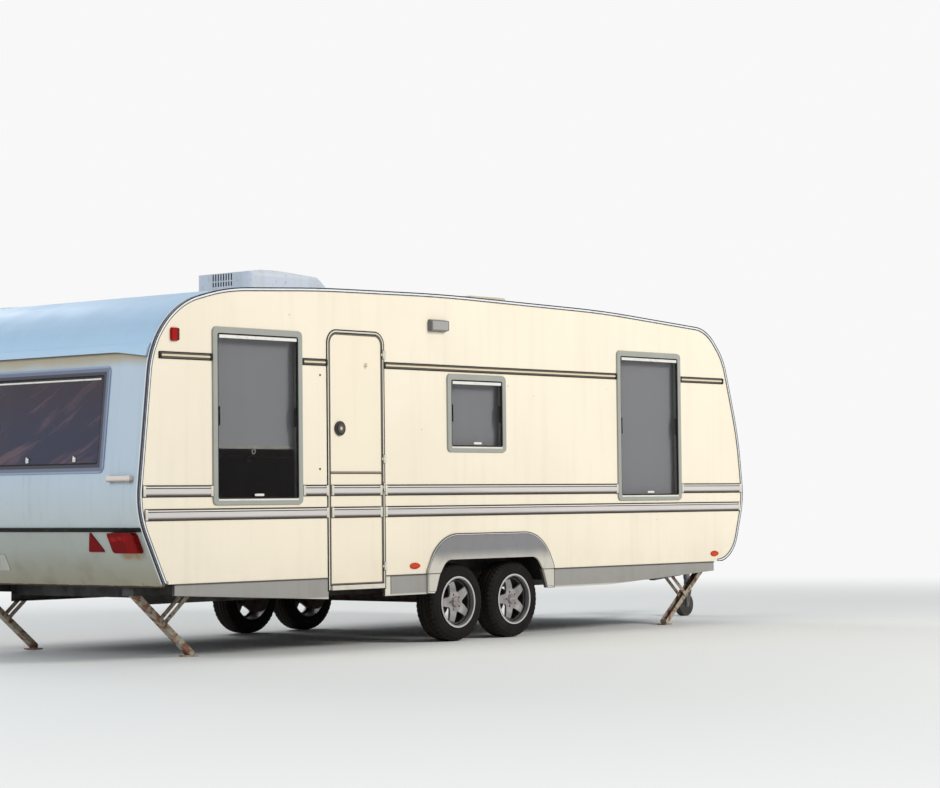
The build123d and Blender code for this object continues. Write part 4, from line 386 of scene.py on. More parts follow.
@look((148, 147, 143), 0.5)
def skirt_grey(paint):
    """Grey skirts under a painted shadow line, with a pale end piece beside the door and painted shade on
    their faces behind the wall's face.
    """
    weather(paint, 0.12, 0.22, 0.36, 0.56, 0.014)
    end_piece = paint.near(paint.x, DOOR_SIDE + 0.03, 0.026)
    paint.coat(paint.times(end_piece, paint.ramp(paint.y, 0.0, -0.1)), (222, 216, 200), 0.9)
    joint = paint.near(paint.x, DOOR_SIDE + 0.06, 0.003)
    paint.coat(joint, JOINT_AND_SHADOW_LINE, 0.9)
    lower_edge = paint.rise(*SKIRT_EDGE)
    paint.coat(lower_edge, (200, 197, 186), 0.8)
    # Painted shadow line along the top of the skirts, where they meet the wall
    paint.coat(paint.rise(SKIRT_SHADOW_LINE, SKIRT_SHADOW_LINE + 0.001), JOINT_AND_SHADOW_LINE, 0.92)
    # Painted shade on the faces behind the wall's face
    paint.coat(behind_face(paint), SOOT_AND_SHADE, 0.9)
    paint.grain(0.0005, 0.4, 260.0, 2.0)


@look((122, 122, 126), 0.5)
def arch_grey(paint):
    """Wheel arches: pale legs that darken into the grey band over the wheels, a grey that is partly the
    trim's own and partly painted shade.
    """
    weather(paint, 0.1, 0.16, 0.36, 0.6, 0.014)
    # The band's grey over the wheels is partly painted shade; the legs are pale
    legs = paint.ramp(paint.uneven_height(0.05, 3.0, 2.0), 0.72, 0.6)
    paint.coat(legs, (206, 201, 189), 0.85)
    bead = paint.near(paint.aside, ARCH_STEP, 0.001, 0.0005)
    paint.coat(bead, (216, 215, 214), 0.9)
    paint.mottle(GRIME, 0.2, 0.5, 0.75, 12.0, 6.0)
    # Painted shadow line along the arch, just over the skirts' top
    paint.coat(paint.near(paint.z, SKIRT_SHADOW_LINE + 0.006, 0.003, 0.001), JOINT_AND_SHADOW_LINE, 0.9)
    # Painted shade on the faces behind the wall's face
    paint.coat(behind_face(paint), SOOT_AND_SHADE, 0.9)
    paint.grain(0.0005, 0.4, 260.0, 2.0)


@look((228, 231, 236), 0.5, specular=0.25)
def trim_alloy(paint):
    """Edge trims: a white bead on the face, with dark sides painted as shadow gaps."""
    paint.mottle((180, 182, 186), 0.4, 0.5, 0.75, 6.0, 5.0, (1.0, 1.0, 0.3))
    # Dark sides of the trim: painted shadow gaps
    paint.coat(paint.near(paint.aside, TRIM_FACE - 0.0125, 0.0105, 0.001), (24, 24, 34), 0.96)
    paint.crease_dirt_and_shade(0.012, 0.85)
    paint.grain(0.0005, 0.3, 90.0, 3.0)


# Lines of painted shadow along a moulding: height over its middle, half width, softness
MOULDING_SHADOW_LINES = ((0.0195, 0.0028, 0.0008), (0.033, 0.0028, 0.0008), (-0.0305, 0.0045, 0.001))
RAIL_LIP = (0.0055, 0.0075)


@look((206, 201, 198), 0.42)
def moulding_grey(paint):
    """Side mouldings: a pale bead and band between dark lines of painted shadow, with painted shade along
    the foot of the band. The rails above are gold on black.
    """
    paint.mottle((184, 178, 180), 0.5, 0.45, 0.75, 2.0, 4.0, (0.4, 1.0, 8.0))
    from_low = paint.minus(paint.z, LOWER_MOULDING - MOULDING_STEP / 2)
    over_middle = paint.minus(paint.maths("MODULO", from_low, MOULDING_STEP), MOULDING_STEP / 2)
    # Painted shade along the foot of each moulding's band
    foot = paint.ramp(over_middle, -0.010, -0.025)
    paint.coat(foot, (150, 140, 130), 0.85)
    bead = paint.ramp(over_middle, 0.0205, 0.0215)
    paint.coat(bead, (232, 227, 215), 0.9)
    for line in MOULDING_SHADOW_LINES:
        paint.coat(paint.near(over_middle, *line), JOINT_AND_SHADOW_LINE, 0.92)
    from_rail = paint.maths("ABSOLUTE", paint.minus(paint.z, RAIL_HEIGHT))
    at_rail = paint.ramp(from_rail, 0.1, 0.09)
    paint.coat(at_rail, (214, 200, 168))
    paint.coat(paint.times(at_rail, paint.ramp(from_rail, *RAIL_LIP)), JOINT_AND_SHADOW_LINE, 0.95)
    paint.crease_dirt_and_shade(0.01, 0.85)
    paint.grain(0.0004, 0.3, 70.0, 2.0, (0.1, 1.0, 1.0))


def at_rear(paint):
    """1 at the rear window and its frame."""
    return paint.ramp(paint.x, REAR_PANE_BACK + 0.02, REAR_PANE_BACK)


@look((152, 154, 147), 0.4)
def frame_grey(paint):
    """Window frames: grey on the sides, and painted darker blue-grey at the ends as a shaded copy of the
    same grey.
    """
    paint.mottle((166, 167, 160), 0.4, 0.4, 0.75, 5.0, 4.0)
    # Painted shade: the frames in the end walls darker and bluer
    ends = paint.ramp(paint.aside, WALL_INSIDE, WALL_INSIDE - 0.03)
    paint.coat(ends, (100, 108, 130), 0.94)
    from_side = paint.minus(REAR_WINDOW_HALF, paint.aside)
    from_top = paint.minus(REAR_WINDOW_TOP, paint.z)
    from_foot = paint.minus(paint.z, REAR_WINDOW_FOOT)
    inset = paint.maths("MINIMUM", from_side, paint.maths("MINIMUM", from_top, from_foot))
    rear = at_rear(paint)
    outer_edge = paint.ramp(inset, 0.014, 0.01)
    paint.coat(paint.times(rear, outer_edge), (142, 158, 182), 0.9)
    inner_edge = paint.ramp(inset, 0.034, 0.038)
    paint.coat(paint.times(rear, inner_edge), (36, 38, 50), 0.9)
    paint.crease_dirt_and_shade(0.01, 0.7)
    paint.grain(0.0004, 0.3, 220.0, 2.0)


# Share of the light that the side panes and the rear pane keep back
SIDE_TINT = 0.28
REAR_TINT = 0.86


@look((22, 18, 21), 0.08, specular=0.2)
def tinted_pane(paint):
    """Smoked acrylic, darker at the rear, with the diagonal mauve streaks of what it mirrors."""
    rear = at_rear(paint)
    paint.coat(rear, (66, 66, 84))
    slant = paint.plus(paint.z, paint.times(paint.y, 0.5))
    along = paint.minus(paint.times(paint.z, 0.5), paint.y)
    place = paint.add("CombineXYZ", {0: along, 1: paint.times(slant, 5.0)}).outputs[0]
    settings = {"Vector": place, "Scale": 1.6, "Detail": 4.0, "Distortion": 0.6}
    streaks = paint.add("TexNoise", settings).outputs[0]
    paint.coat(paint.times(rear, paint.ramp(streaks, 0.5, 0.7)), (122, 98, 104), 0.7)
    # Painted shade across the top of the rear pane
    painted_top_shade = paint.rise(1.5, 1.95)
    paint.coat(paint.times(rear, painted_top_shade), (74, 58, 58), 0.55)
    dust = paint.patches(0.55, 0.85, 2.0, 4.0, (1.0, 1.0, 0.4))
    paint.coat(dust, (84, 78, 78), 0.3)
    paint.alpha = paint.add("Mix", {0: rear, 2: SIDE_TINT, 3: REAR_TINT}).outputs[0]
    paint.polish(paint.patches(0.5, 0.8, 7.0, 5.0), 0.16)
    paint.grain(0.004, 0.3, 1.6, 1.0)


@look((218, 219, 224), 0.82, Sheen_Weight=0.25)
def blind_cloth(paint):
    across = paint.noise(1.0, 0.0, (900.0, 1.0, 60.0))
    along = paint.noise(1.0, 0.0, (60.0, 1.0, 900.0))
    weave = paint.plus(across, along)
    paint.coat(paint.ramp(weave, 0.85, 1.2), (196, 198, 205), 0.5)
    paint.relief(weave, 0.0004, 0.5)


@look((92, 66, 46), 0.62)
def plywood(paint):
    """Plywood, stained dark inside the cabin, with painted shade underneath."""
    grain = paint.noise(3.0, 6.0, (1.0, 14.0, 14.0), 1.2)
    paint.coat(paint.ramp(grain, 0.4, 0.65), (62, 44, 32), 0.7)
    # Painted shade on the underside of the floor
    underside = paint.rise(*FLOOR_UNDERSIDE)
    paint.coat(underside, (34, 30, 28), 0.9)
    paint.mottle(SOOT_AND_SHADE, 0.3, 0.5, 0.7, 11.0, 5.0)
    paint.relief(grain, 0.0006, 0.4)


@look((212, 206, 192), 0.4, 0.1)
def door_trim(paint):
    """Door frame: a light bead, with painted shade where it turns into the doorway."""
    paint.mottle(GRIME, 0.2, 0.5, 0.8, 8.0, 5.0)
    paint.crease_dirt_and_shade(0.014, 0.9)
    paint.coat(behind_face(paint, 0.001), SOOT_AND_SHADE, 0.95)
    paint.grain(0.0004, 0.3, 90.0, 2.0)


@look((122, 124, 124), 0.5, 0.6)
def galvanised(paint):
    spangle = paint.cells(70.0)
    paint.coat(paint.ramp(spangle, 0.2, 0.6), (94, 97, 98), 0.6)
    paint.mottle((62, 56, 50), 0.75, 0.4, 0.7, 7.0, 6.0)
    paint.mottle(RUST, 0.5, 0.58, 0.72, 19.0, 6.0)
    # Painted shade on the chassis under the floor
    under_floor_shade = paint.times(paint.ramp(paint.x, 2.9, 2.4), paint.rise(0.3, 0.36))
    paint.coat(under_floor_shade, (40, 37, 35), 0.7)
    paint.polish(paint.patches(0.4, 0.7, 9.0, 5.0), 0.8)
    paint.relief(spangle, 0.0006, 0.3)


@look((148, 150, 150), 0.5, 0.55)
def hitch_paint(paint):
    paint.mottle((84, 72, 60), 0.8, 0.5, 0.68, 18.0, 6.0)
    paint.mottle(RUST, 0.7, 0.6, 0.72, 42.0, 5.0)
    gaiter = paint.near(paint.x, GAITER_MID, GAITER_HALF)
    tube = paint.ramp(paint.aside, GAITER_RADIUS, GAITER_RADIUS - 0.004)
    paint.coat(paint.times(gaiter, tube), (26, 25, 25))
    grip = paint.rise(LEVER_GRIP_FOOT, LEVER_GRIP_FOOT + 0.005)
    paint.coat(grip, (28, 27, 26))
    paint.grain(0.0009, 0.5, 120.0, 4.0)


def wheel_radius(paint):
    """Distance from the nearest axle line."""
    along = paint.minus(paint.maths("ABSOLUTE", paint.minus(paint.x, AXLE_MID)), AXLE_HALF)
    return paint.reach(along, paint.minus(paint.z, TYRE_RADIUS))


@look((22, 20, 19), 0.8, specular=0.15)
def tyre(paint):
    radial = wheel_radius(paint)
    paint.mottle((50, 44, 38), 0.35, 0.4, 0.75, 9.0, 6.0)
    tread = paint.ramp(radial, TYRE_RADIUS - 0.016, TYRE_RADIUS - 0.004)
    paint.coat(tread, (62, 54, 46), 0.35)
    paint.crease_dirt_and_shade(0.012, 0.6, (22, 20, 19))
    paint.grain(0.0007, 0.5, 240.0, 3.0)


@look((158, 155, 156), 0.38, 0.4)
def alloy_rim(paint):
    radial = wheel_radius(paint)
    paint.mottle((104, 96, 92), 0.5, 0.3, 0.7, 13.0, 6.0)
    # Painted shade on the deep parts of the rim, between and behind the spokes
    behind = paint.ramp(paint.aside, WHEEL_OUTSIDE - 0.034, WHEEL_OUTSIDE - 0.05)
    paint.coat(behind, (58, 50, 47), 0.85)
    lip = paint.ramp(radial, *RIM_LIP)
    paint.coat(lip, (206, 204, 206), 0.9)
    hub = paint.ramp(radial, *HUB)
    paint.coat(paint.times(hub, paint.patches(0.4, 0.6, 60.0, 5.0)), (112, 92, 78), 0.6)
    paint.crease_dirt_and_shade(0.04, 0.85, (30, 26, 25))
    paint.grain(0.0005, 0.4, 170.0, 3.0)


@look((122, 4, 6), 0.4, specular=0.1)
def lamp_red(paint):
    """Rear lamp lenses: fine prisms, dark borders of dirt and painted shade, and a painted highlight high on
    each lamp.
    """
    lamp = paint.ramp(paint.aside, LAMP_INNER, LAMP_INNER + 0.01)
    # Painted highlight high on each lamp
    upper = paint.times(lamp, paint.near(paint.z, LAMP_LOW + 0.096, 0.014, 0.008))
    paint.coat(paint.times(upper, paint.patches(0.42, 0.6, 14.0, 3.0)), (196, 34, 30), 0.6)
    outer = paint.times(lamp, paint.near(paint.aside, LAMP_ACROSS + 0.06, 0.042, 0.003))
    paint.coat(outer, (144, 8, 8), 0.7)
    division = paint.times(lamp, paint.near(paint.aside, LAMP_ACROSS + 0.012, 0.0025, 0.001))
    paint.coat(division, (70, 6, 10), 0.8)
    marker = paint.rise(MARKER_LOWEST, MARKER_LOWEST + 0.1)
    paint.coat(marker, (170, 20, 14))
    front_half = paint.ramp(paint.x, MARKER_MID, MARKER_MID + 0.008)
    paint.coat(paint.times(marker, front_half), (92, 34, 28), 0.9)
    prisms = paint.checks(110.0)
    paint.coat(prisms, (92, 6, 10), 0.3)
    paint.mottle(SOOT_AND_SHADE, 0.3, 0.55, 0.8, 20.0, 5.0)
    paint.crease_dirt_and_shade(0.016, 0.8)
    paint.relief(prisms, 0.0008, 0.5)


@look((108, 108, 108), 0.4)
def lamp_body(paint):
    """Awning lamp: a milky grey lens in a darker surround."""
    low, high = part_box("awning_lamp")
    middle = (low + high) / 2
    half = (high - low) / 2
    lens = paint.times(paint.near(paint.x, middle.x, half.x - 0.02, 0.003),
                       paint.near(paint.z, middle.z, half.z - 0.016, 0.003))
    paint.coat(lens, (156, 154, 152))
    paint.crease_dirt_and_shade(0.01, 0.6)
    ribs = paint.maths("SINE", paint.times(paint.x, 900.0))
    paint.relief(paint.times(ribs, lens), 0.0006, 0.4)


@look((204, 70, 16), 0.3, specular=0.15)
def reflector_amber(paint):
    """Low side reflectors: an orange oval that reddens towards its rim."""
    rim = paint.ramp(paint.maths("ABSOLUTE", paint.minus(paint.z, REFLECTOR_HEIGHT)), 0.008, 0.02)
    paint.coat(rim, (178, 34, 14), 0.85)
    prisms = paint.checks(150.0)
    paint.coat(prisms, (150, 26, 12), 0.3)
    paint.relief(prisms, 0.0006, 0.5)


@look((226, 224, 218), 0.34, 0.3)
def fitting_metal(paint):
    paint.mottle((160, 154, 144), 0.4, 0.5, 0.8, 24.0, 5.0)
    stay = paint.near(paint.aside, STAY_MID, STAY_HALF, 0.001)
    paint.coat(stay, (34, 32, 31), 0.9)
    paint.grain(0.0004, 0.3, 90.0, 3.0)


@look((26, 24, 23), 0.4)
def door_handle_black(paint):
    """Handle: a black disc with a silver lock in a brown ring. The knob over it is cream, the bead grey."""
    radial = paint.reach(paint.minus(paint.x, HANDLE_PLACE[0]), paint.minus(paint.z, HANDLE_PLACE[1]))
    ring = paint.ramp(radial, *HANDLE_RING)
    paint.coat(ring, (74, 58, 44), 0.8)
    lock = paint.ramp(radial, *HANDLE_LOCK)
    paint.coat(lock, (190, 188, 184), 0.95)
    paint.mottle((70, 62, 54), 0.3, 0.5, 0.75, 24.0, 5.0)
    paint.coat(paint.rise(KNOB_LOWEST, KNOB_LOWEST + 0.05), (234, 224, 202))
    paint.coat(paint.rise(WEATHER_BEAD_TOP, WEATHER_BEAD_TOP - 0.05), (128, 118, 106))
    paint.crease_dirt_and_shade(0.008, 0.7)
    paint.grain(0.0003, 0.3, 160.0, 2.0)


@look((226, 212, 202), 0.4)
def handle_ivory(paint):
    low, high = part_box("grab_handles")
    # Painted shade on the lower half of each grab handle
    paint.coat(paint.rise((low.z + high.z) / 2, low.z), (96, 84, 72), 0.75)
    paint.crease_dirt_and_shade(0.02, 0.6)
    paint.grain(0.0005, 0.3, 120.0, 3.0)


# Plain looks: colour, roughness, metallic and specular level, then mottles, dirt and painted shade in
# creases, dull patches and grain
BLACK = {"mottles": [((70, 62, 55), 0.35, 0.5, 0.8, 14.0, 5.0)],
         "dull": (0.7, 0.4, 0.7, 30.0, 4.0), "grain": (0.0004, 0.4, 260.0, 2.0)}
PLATE = {"crease_dirt_and_shade": (0.01, 0.6), "grain": (0.0003, 0.3, 150.0, 2.0)}
PLAIN_LOOKS = {
    "black_plastic": (((30, 28, 27), 0.5, 0.0, 0.2), BLACK),
    "seal_rubber": (((22, 21, 21), 0.5, 0.0, 0.2), BLACK),
    "plate_white": (((226, 223, 212), 0.45), {"mottles": [(GRIME, 0.25, 0.4, 0.75, 9.0, 5.0)], **PLATE}),
    "dirty_plate": (((182, 182, 170), 0.45), {"mottles": [(GRIME, 0.5, 0.4, 0.75, 9.0, 5.0)], **PLATE}),
    "rusty_steel": (((168, 158, 140), 0.6, 0.2), {
        "mottles": [(RUST, 0.85, 0.47, 0.62, 15.0, 7.0), (DARK_RUST, 0.8, 0.56, 0.68, 34.0, 6.0)],
        "crease_dirt_and_shade": (0.02, 0.7, DARK_RUST), "dull": (0.88, 0.4, 0.65, 20.0, 5.0),
        "grain": (0.0012, 0.6, 130.0, 5.0)}),
    "drum_steel": (((74, 66, 60), 0.72, 0.5), {
        "mottles": [(DARK_RUST, 0.85, 0.42, 0.66, 16.0, 6.0), (RUST, 0.5, 0.55, 0.7, 50.0, 5.0)],
        "grain": (0.0014, 0.6, 120.0, 5.0)}),
    "jockey_rubber": (((42, 40, 38), 0.8), {
        "mottles": [((84, 76, 64), 0.5, 0.4, 0.7, 16.0, 5.0)], "grain": (0.0008, 0.5, 200.0, 3.0)}),
    "unit_white": (((202, 206, 213), 0.45), {
        "mottles": [((168, 166, 160), 0.3, 0.45, 0.72, 1.0, 4.0, (9.0, 9.0, 2.0)),
                    ((120, 104, 84), 0.35, 0.6, 0.75, 22.0, 6.0)],
        "crease_dirt_and_shade": (0.03, 0.92, (28, 30, 38)), "grain": (0.0006, 0.3, 180.0, 3.0)}),
    "vent_smoke": (((204, 190, 166), 0.4), {
        "mottles": [((146, 130, 106), 0.5, 0.4, 0.7, 5.0, 5.0)],
        "crease_dirt_and_shade": (0.02, 0.6), "grain": (0.0006, 0.3, 140.0, 3.0)}),
}


for slot_name, (base_look, coats) in PLAIN_LOOKS.items():
    plain = Paint(slot_name, *base_look)
    for mottle in coats["mottles"]:
        plain.mottle(*mottle)
    if "crease_dirt_and_shade" in coats:
        plain.crease_dirt_and_shade(*coats["crease_dirt_and_shade"])
    if "dull" in coats:
        roughness, *patches = coats["dull"]
        plain.polish(plain.patches(*patches), roughness)
    plain.grain(*coats["grain"])
    materials[slot_name] = plain.done()

# Looks of the nodes that don't wear their slot's
OWN_LOOKS = {"rear_lower_panel": "rear_lower_white", "arch_trims": "arch_grey",
             "door_handle": "door_handle_black", "number_plate": "dirty_plate"}


def dress_nodes():
    """Every CAD node gets the procedural material of its slot, or its own."""
    for subpart in frame["record"]["subparts"]:
        name = subpart["node"]
        mesh = nodes[name].data
        mesh.materials.clear()
        mesh.materials.append(materials[OWN_LOOKS.get(name, subpart["material_slot"])])


def merged(name):
    """The mesh of a CAD node as a bmesh without double corners."""
    shape = bmesh.new()
    shape.from_mesh(nodes[name].data)
    bmesh.ops.remove_doubles(shape, verts=shape.verts, dist=0.00002)
    return shape


def solids(name):
    """The box of each separate solid of a CAD node, as (lowest corner, highest corner)."""
    shape = merged(name)
    left = set(shape.verts)
    found = []
    while left:
        reached = [left.pop()]
        group = []
        while reached:
            vert = reached.pop()
            group.append(vert.co.copy())
            for edge in vert.link_edges:
                other = edge.other_vert(vert)
                if other in left:
                    left.remove(other)
                    reached.append(other)
        low = Vector([min(point[i] for point in group) for i in range(3)])
        high = Vector([max(point[i] for point in group) for i in range(3)])
        found.append((low, high))
    shape.free()
    return sorted(found, key=lambda box: tuple(box[0]))


def add_object(name, data):
    made = bpy.data.objects.new(name, data)
    scene.collection.objects.link(made)
    return made


def add_mesh(name, shape, material):
    """An object from a bmesh that is already in place."""
    mesh = bpy.data.meshes.new(name)
    shape.to_mesh(mesh)
    shape.free()
    mesh.materials.append(material)
    return add_object(name, mesh)


def piece(name, shape, slot, body=CAR, smooth=True):
    """A mesh piece that rides on a body, in the look of its slot."""
    made = add_mesh(name, shape, materials[slot])
    for face in made.data.polygons:
        face.use_smooth = smooth
    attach(made, body)
    return made


def add_block(shape, low, high, round_by=0.001):
    """A box with softened edges."""
    low, high = Vector(low), Vector(high)
    placed = Matrix.Translation((low + high) / 2) @ Matrix.Diagonal((*(high - low), 1.0))
    made = bmesh.ops.create_cube(shape, size=1.0, matrix=placed)
    edges = list({edge for vert in made["verts"] for edge in vert.link_edges})
    bmesh.ops.bevel(shape, geom=edges, offset=round_by, segments=2, affect="EDGES", profile=0.5)


def bridge(shape, rings, closed=True):
    """Faces between rings of corners that follow each other, and from the last to the first if closed."""
    for first, second in zip(rings, rings[1:] + rings[:1] if closed else rings[1:]):
        for index in range(len(first)):
            after = (index + 1) % len(first)
            shape.faces.new((first[index], first[after], second[after], second[index]))


def add_turned(shape, profile, placed, steps, closed=False):
    """A turned form: profile rows are radius and distance along the local Z axis."""
    rings = []
    for radius, along in profile:
        ring = []
        for step in range(steps):
            turn = math.tau * step / steps
            point = Vector((radius * math.cos(turn), radius * math.sin(turn), along))
            ring.append(shape.verts.new(placed @ point))
        rings.append(ring)
    bridge(shape, rings, closed)
    if not closed:
        shape.faces.new(list(reversed(rings[0])))
        shape.faces.new(rings[-1])


def outward(place, normal):
    """A frame whose Z axis points along normal."""
    return Matrix.Translation(place) @ Vector(normal).to_track_quat("Z", "Y").to_matrix().to_4x4()


def add_screw(shape, place, normal, radius=0.005):
    """A domed screw head with a small round recess."""
    placed = outward(place, normal)
    dome = [(radius, 0.0), (radius * 0.96, radius * 0.28), (radius * 0.7, radius * 0.5),
            (radius * 0.3, radius * 0.56), (radius * 0.26, radius * 0.34)]
    add_turned(shape, dome, placed, 10)


# Tyres with ribs, lateral grooves and ringed sidewalls
TREAD_PITCHES = 46
TREAD_PHASES = (0.0, 0.07, 0.10, 0.42, 0.45, 0.52, 0.55, 0.95)
OUTER_GROOVE_PHASES = (1, 2)
INNER_GROOVE_PHASES = (4, 5)
OUTER_GROOVE_START = 0.05
INNER_GROOVE_SPAN = (0.022, 0.046)
GROOVE_DEPTH = 0.0065
TREAD_SWING = 0.012
RIB_GROOVES = (0.048, 0.019)
RIB_GROOVE_DEPTH = 0.009

# Sidewall from the bead outward: distance inside the tyre's widest place, and radius
SIDEWALL = ((0.006, 0.186), (0.002, 0.194), (0.001, 0.2), (0.003, 0.203), (0.001, 0.212), (0.0, 0.226),
            (0.0006, 0.24), (0.0022, 0.2406), (0.0026, 0.246), (0.0016, 0.2466), (0.003, 0.258),
            (0.0062, 0.269))


def tyre_section():
    """Half section of the tyre: distance out from the middle, radius, and whether grooves cut it."""
    edge = TYRE_RADIUS
    rows = [(TYRE_HALF - inside, radius, False) for inside, radius in SIDEWALL]
    rows += [(TYRE_HALF - 0.0105, 0.277, True), (TYRE_HALF - 0.016, edge - 0.0088, True),
             (TYRE_HALF - 0.0245, edge - 0.0045, True), (0.056, edge - 0.0026, True)]
    for middle in RIB_GROOVES:
        rows += [(middle + 0.0045, edge - 0.002, True), (middle + 0.003, edge - RIB_GROOVE_DEPTH, False),
                 (middle - 0.003, edge - RIB_GROOVE_DEPTH, False), (middle - 0.0045, edge - 0.0012, True)]
    rows.append((0.003, edge - 0.0003, True))
    return rows


def make_tyre(name):
    centre = WHEEL_CENTRES[name]
    out = math.copysign(1.0, centre.y)
    half = tyre_section()
    section = half + [(-along, radius, cut) for along, radius, cut in reversed(half)]
    shape = bmesh.new()
    rings = []
    for pitch in range(TREAD_PITCHES):
        for index, phase in enumerate(TREAD_PHASES):
            turn = math.tau * (pitch + phase) / TREAD_PITCHES
            ring = []
            for along, radius, cut in section:
                outer_groove = index in OUTER_GROOVE_PHASES and abs(along) > OUTER_GROOVE_START
                inner_start, inner_end = INNER_GROOVE_SPAN
                inner_groove = index in INNER_GROOVE_PHASES and inner_start < abs(along) < inner_end
                if cut and (outer_groove or inner_groove):
                    radius -= GROOVE_DEPTH
                angle = turn + (TREAD_SWING * (along / TYRE_HALF) if cut else 0.0)
                ring.append(shape.verts.new((centre.x + radius * math.cos(angle),
                                             centre.y + out * along,
                                             centre.z + radius * math.sin(angle))))
            rings.append(ring)
    bridge(shape, rings)
    bmesh.ops.recalc_face_normals(shape, faces=shape.faces)
    made = piece("road_tyre_" + name, shape, "tyre", "wheel_" + name, smooth=False)
    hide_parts("tyre_" + name)


# Turned profiles of the bolt heads and of the valve, and where they stand on a rim: degrees, radius, and
# depth behind the tyre's widest place
BOLT = ((0.0068, 0.0), (0.0068, 0.007), (0.0058, 0.0085), (0.003, 0.0088))
BOLT_TURNS = (36, 108, 180, 252, 324)
BOLT_RADIUS = 0.057
BOLT_BEHIND = 0.036
VALVE = ((0.005, 0.0), (0.005, 0.012), (0.0035, 0.014), (0.0035, 0.03), (0.0042, 0.031), (0.0042, 0.038))
VALVE_TURN = 108
VALVE_RADIUS = 0.166
VALVE_BEHIND = 0.04


def on_rim(name, degrees, radius, behind):
    """A frame that looks outward from a place on a rim."""
    centre = WHEEL_CENTRES[name]
    out = math.copysign(1.0, centre.y)
    turn = math.radians(degrees)
    place = Vector((centre.x + radius * math.cos(turn), centre.y + out * (TYRE_HALF - behind),
                    centre.z + radius * math.sin(turn)))
    return outward(place, (0, out, 0))


def make_wheel_bolts(name):
    """Five bolt heads and a valve on the face of a rim."""
    shape = bmesh.new()
    for degrees in BOLT_TURNS:
        add_turned(shape, BOLT, on_rim(name, degrees, BOLT_RADIUS, BOLT_BEHIND), 6)
    add_turned(shape, VALVE, on_rim(name, VALVE_TURN, VALVE_RADIUS, VALVE_BEHIND), 10)
    piece("wheel_bolts_" + name, shape, "galvanised", "wheel_" + name, smooth=False)


# Blinds: a case at the top, the hanging cloth, its bottom bar and a ring pull
BLIND_CASE_TALL = 0.05
BLIND_BAR_TALL = 0.024
BLIND_BAR_HALF = 0.008
CLOTH_INSET = 0.012
CLOTH_COLUMNS = 28
CLOTH_ROWS = 24
RING_RADIUS = 0.016
RING_THICK = 0.004


def make_blind(index, low, high):
    side = math.copysign(1.0, low.y)
    middle = (low.y + high.y) / 2
    top = high.z - BLIND_CASE_TALL
    bottom = low.z + BLIND_BAR_TALL * 0.6
    left, right = low.x + CLOTH_INSET, high.x - CLOTH_INSET
    shape = bmesh.new()
    add_block(shape, (low.x, low.y, top), high, 0.006)
    case = piece(f"blind_case_{index}", shape, "handle_ivory")
    shape = bmesh.new()
    grid = []
    for row in range(CLOTH_ROWS + 1):
        height = bottom + (top - bottom) * row / CLOTH_ROWS
        line = []
        for column in range(CLOTH_COLUMNS + 1):
            along = left + (right - left) * column / CLOTH_COLUMNS
            ripple = 0.0012 * math.sin(column * 0.9 + index) + 0.0008 * math.sin(row * 0.7 + column * 0.3)
            line.append(shape.verts.new((along, middle + ripple, height)))
        grid.append(line)
    for lower, upper in zip(grid, grid[1:]):
        for column in range(CLOTH_COLUMNS):
            shape.faces.new((lower[column], lower[column + 1], upper[column + 1], upper[column]))
    cloth = piece(f"blind_cloth_{index}", shape, "blind_cloth")
    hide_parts("blinds")
    shape = bmesh.new()
    add_block(shape, (low.x + 0.005, middle - BLIND_BAR_HALF, low.z),
              (high.x - 0.005, middle + BLIND_BAR_HALF, low.z + BLIND_BAR_TALL), 0.004)
    bar = piece(f"blind_bar_{index}", shape, "plate_white")
    ring = make_ring(index, Vector(((low.x + high.x) / 2, middle + side * 0.012, low.z)))


def make_ring(index, place):
    """A ring pull on a short tab under the blind's bar."""
    shape = bmesh.new()
    section = [(RING_RADIUS + RING_THICK * math.cos(k), RING_THICK * math.sin(k))
               for k in (math.tau * step / 8 for step in range(8))]
    add_turned(shape, section, outward(place + Vector((0, 0, -RING_RADIUS)), (0, 1, 0)), 24, closed=True)
    add_block(shape, place + Vector((-0.006, -0.002, -0.004)), place + Vector((0.006, 0.002, 0.014)))
    return piece(f"blind_ring_{index}", shape, "plate_white")


# Strips of painted shadow and end caps along the mouldings and rails
SHADOW_STRIP = 0.006
SHADOW_STRIP_PROUD = 0.0045
CAP_LENGTH = 0.022

# End caps: how far they stand out sideways, past the ends and up and down, and their rounding
MOULDING_CAP = (0.0012, 0.001, 0.0015, 0.0025)
RAIL_CAP = (0.002, 0.004, 0.003, 0.003)


def wall_to_face(low, high, proud):
    """From the face of the side wall to a little proud of a box that stands on it, in rising order."""
    side = math.copysign(1.0, low.y)
    outer = high.y if side > 0 else low.y
    return sorted((side * WALL_FACE, outer + side * proud))


def add_caps(shape, low, high, proud, past, over, round_by):
    """A cap on each end of a moulding."""
    near, far = wall_to_face(low, high, proud)
    for start in (low.x - past, high.x - CAP_LENGTH + past):
        add_block(shape, (start, near, low.z - over), (start + CAP_LENGTH, far, high.z + over), round_by)


def make_moulding_lines(node, body):
    """Dark strips of painted shadow above and below each moulding, and pale caps on the ends of all but the
    rails.
    """
    strips = bmesh.new()
    caps = bmesh.new()
    for low, high in solids(node):
        side = math.copysign(1.0, low.y)
        near, far = sorted((side * WALL_FACE, side * (WALL_FACE + SHADOW_STRIP_PROUD)))
        for height in (low.z - SHADOW_STRIP, high.z):
            add_block(strips, (low.x, near, height), (high.x, far, height + SHADOW_STRIP), 0.0008)
        if low.z < RAIL_LOWEST:
            add_caps(caps, low, high, *MOULDING_CAP)
    piece(node + "_seals", strips, "seal_rubber", body)
    return caps


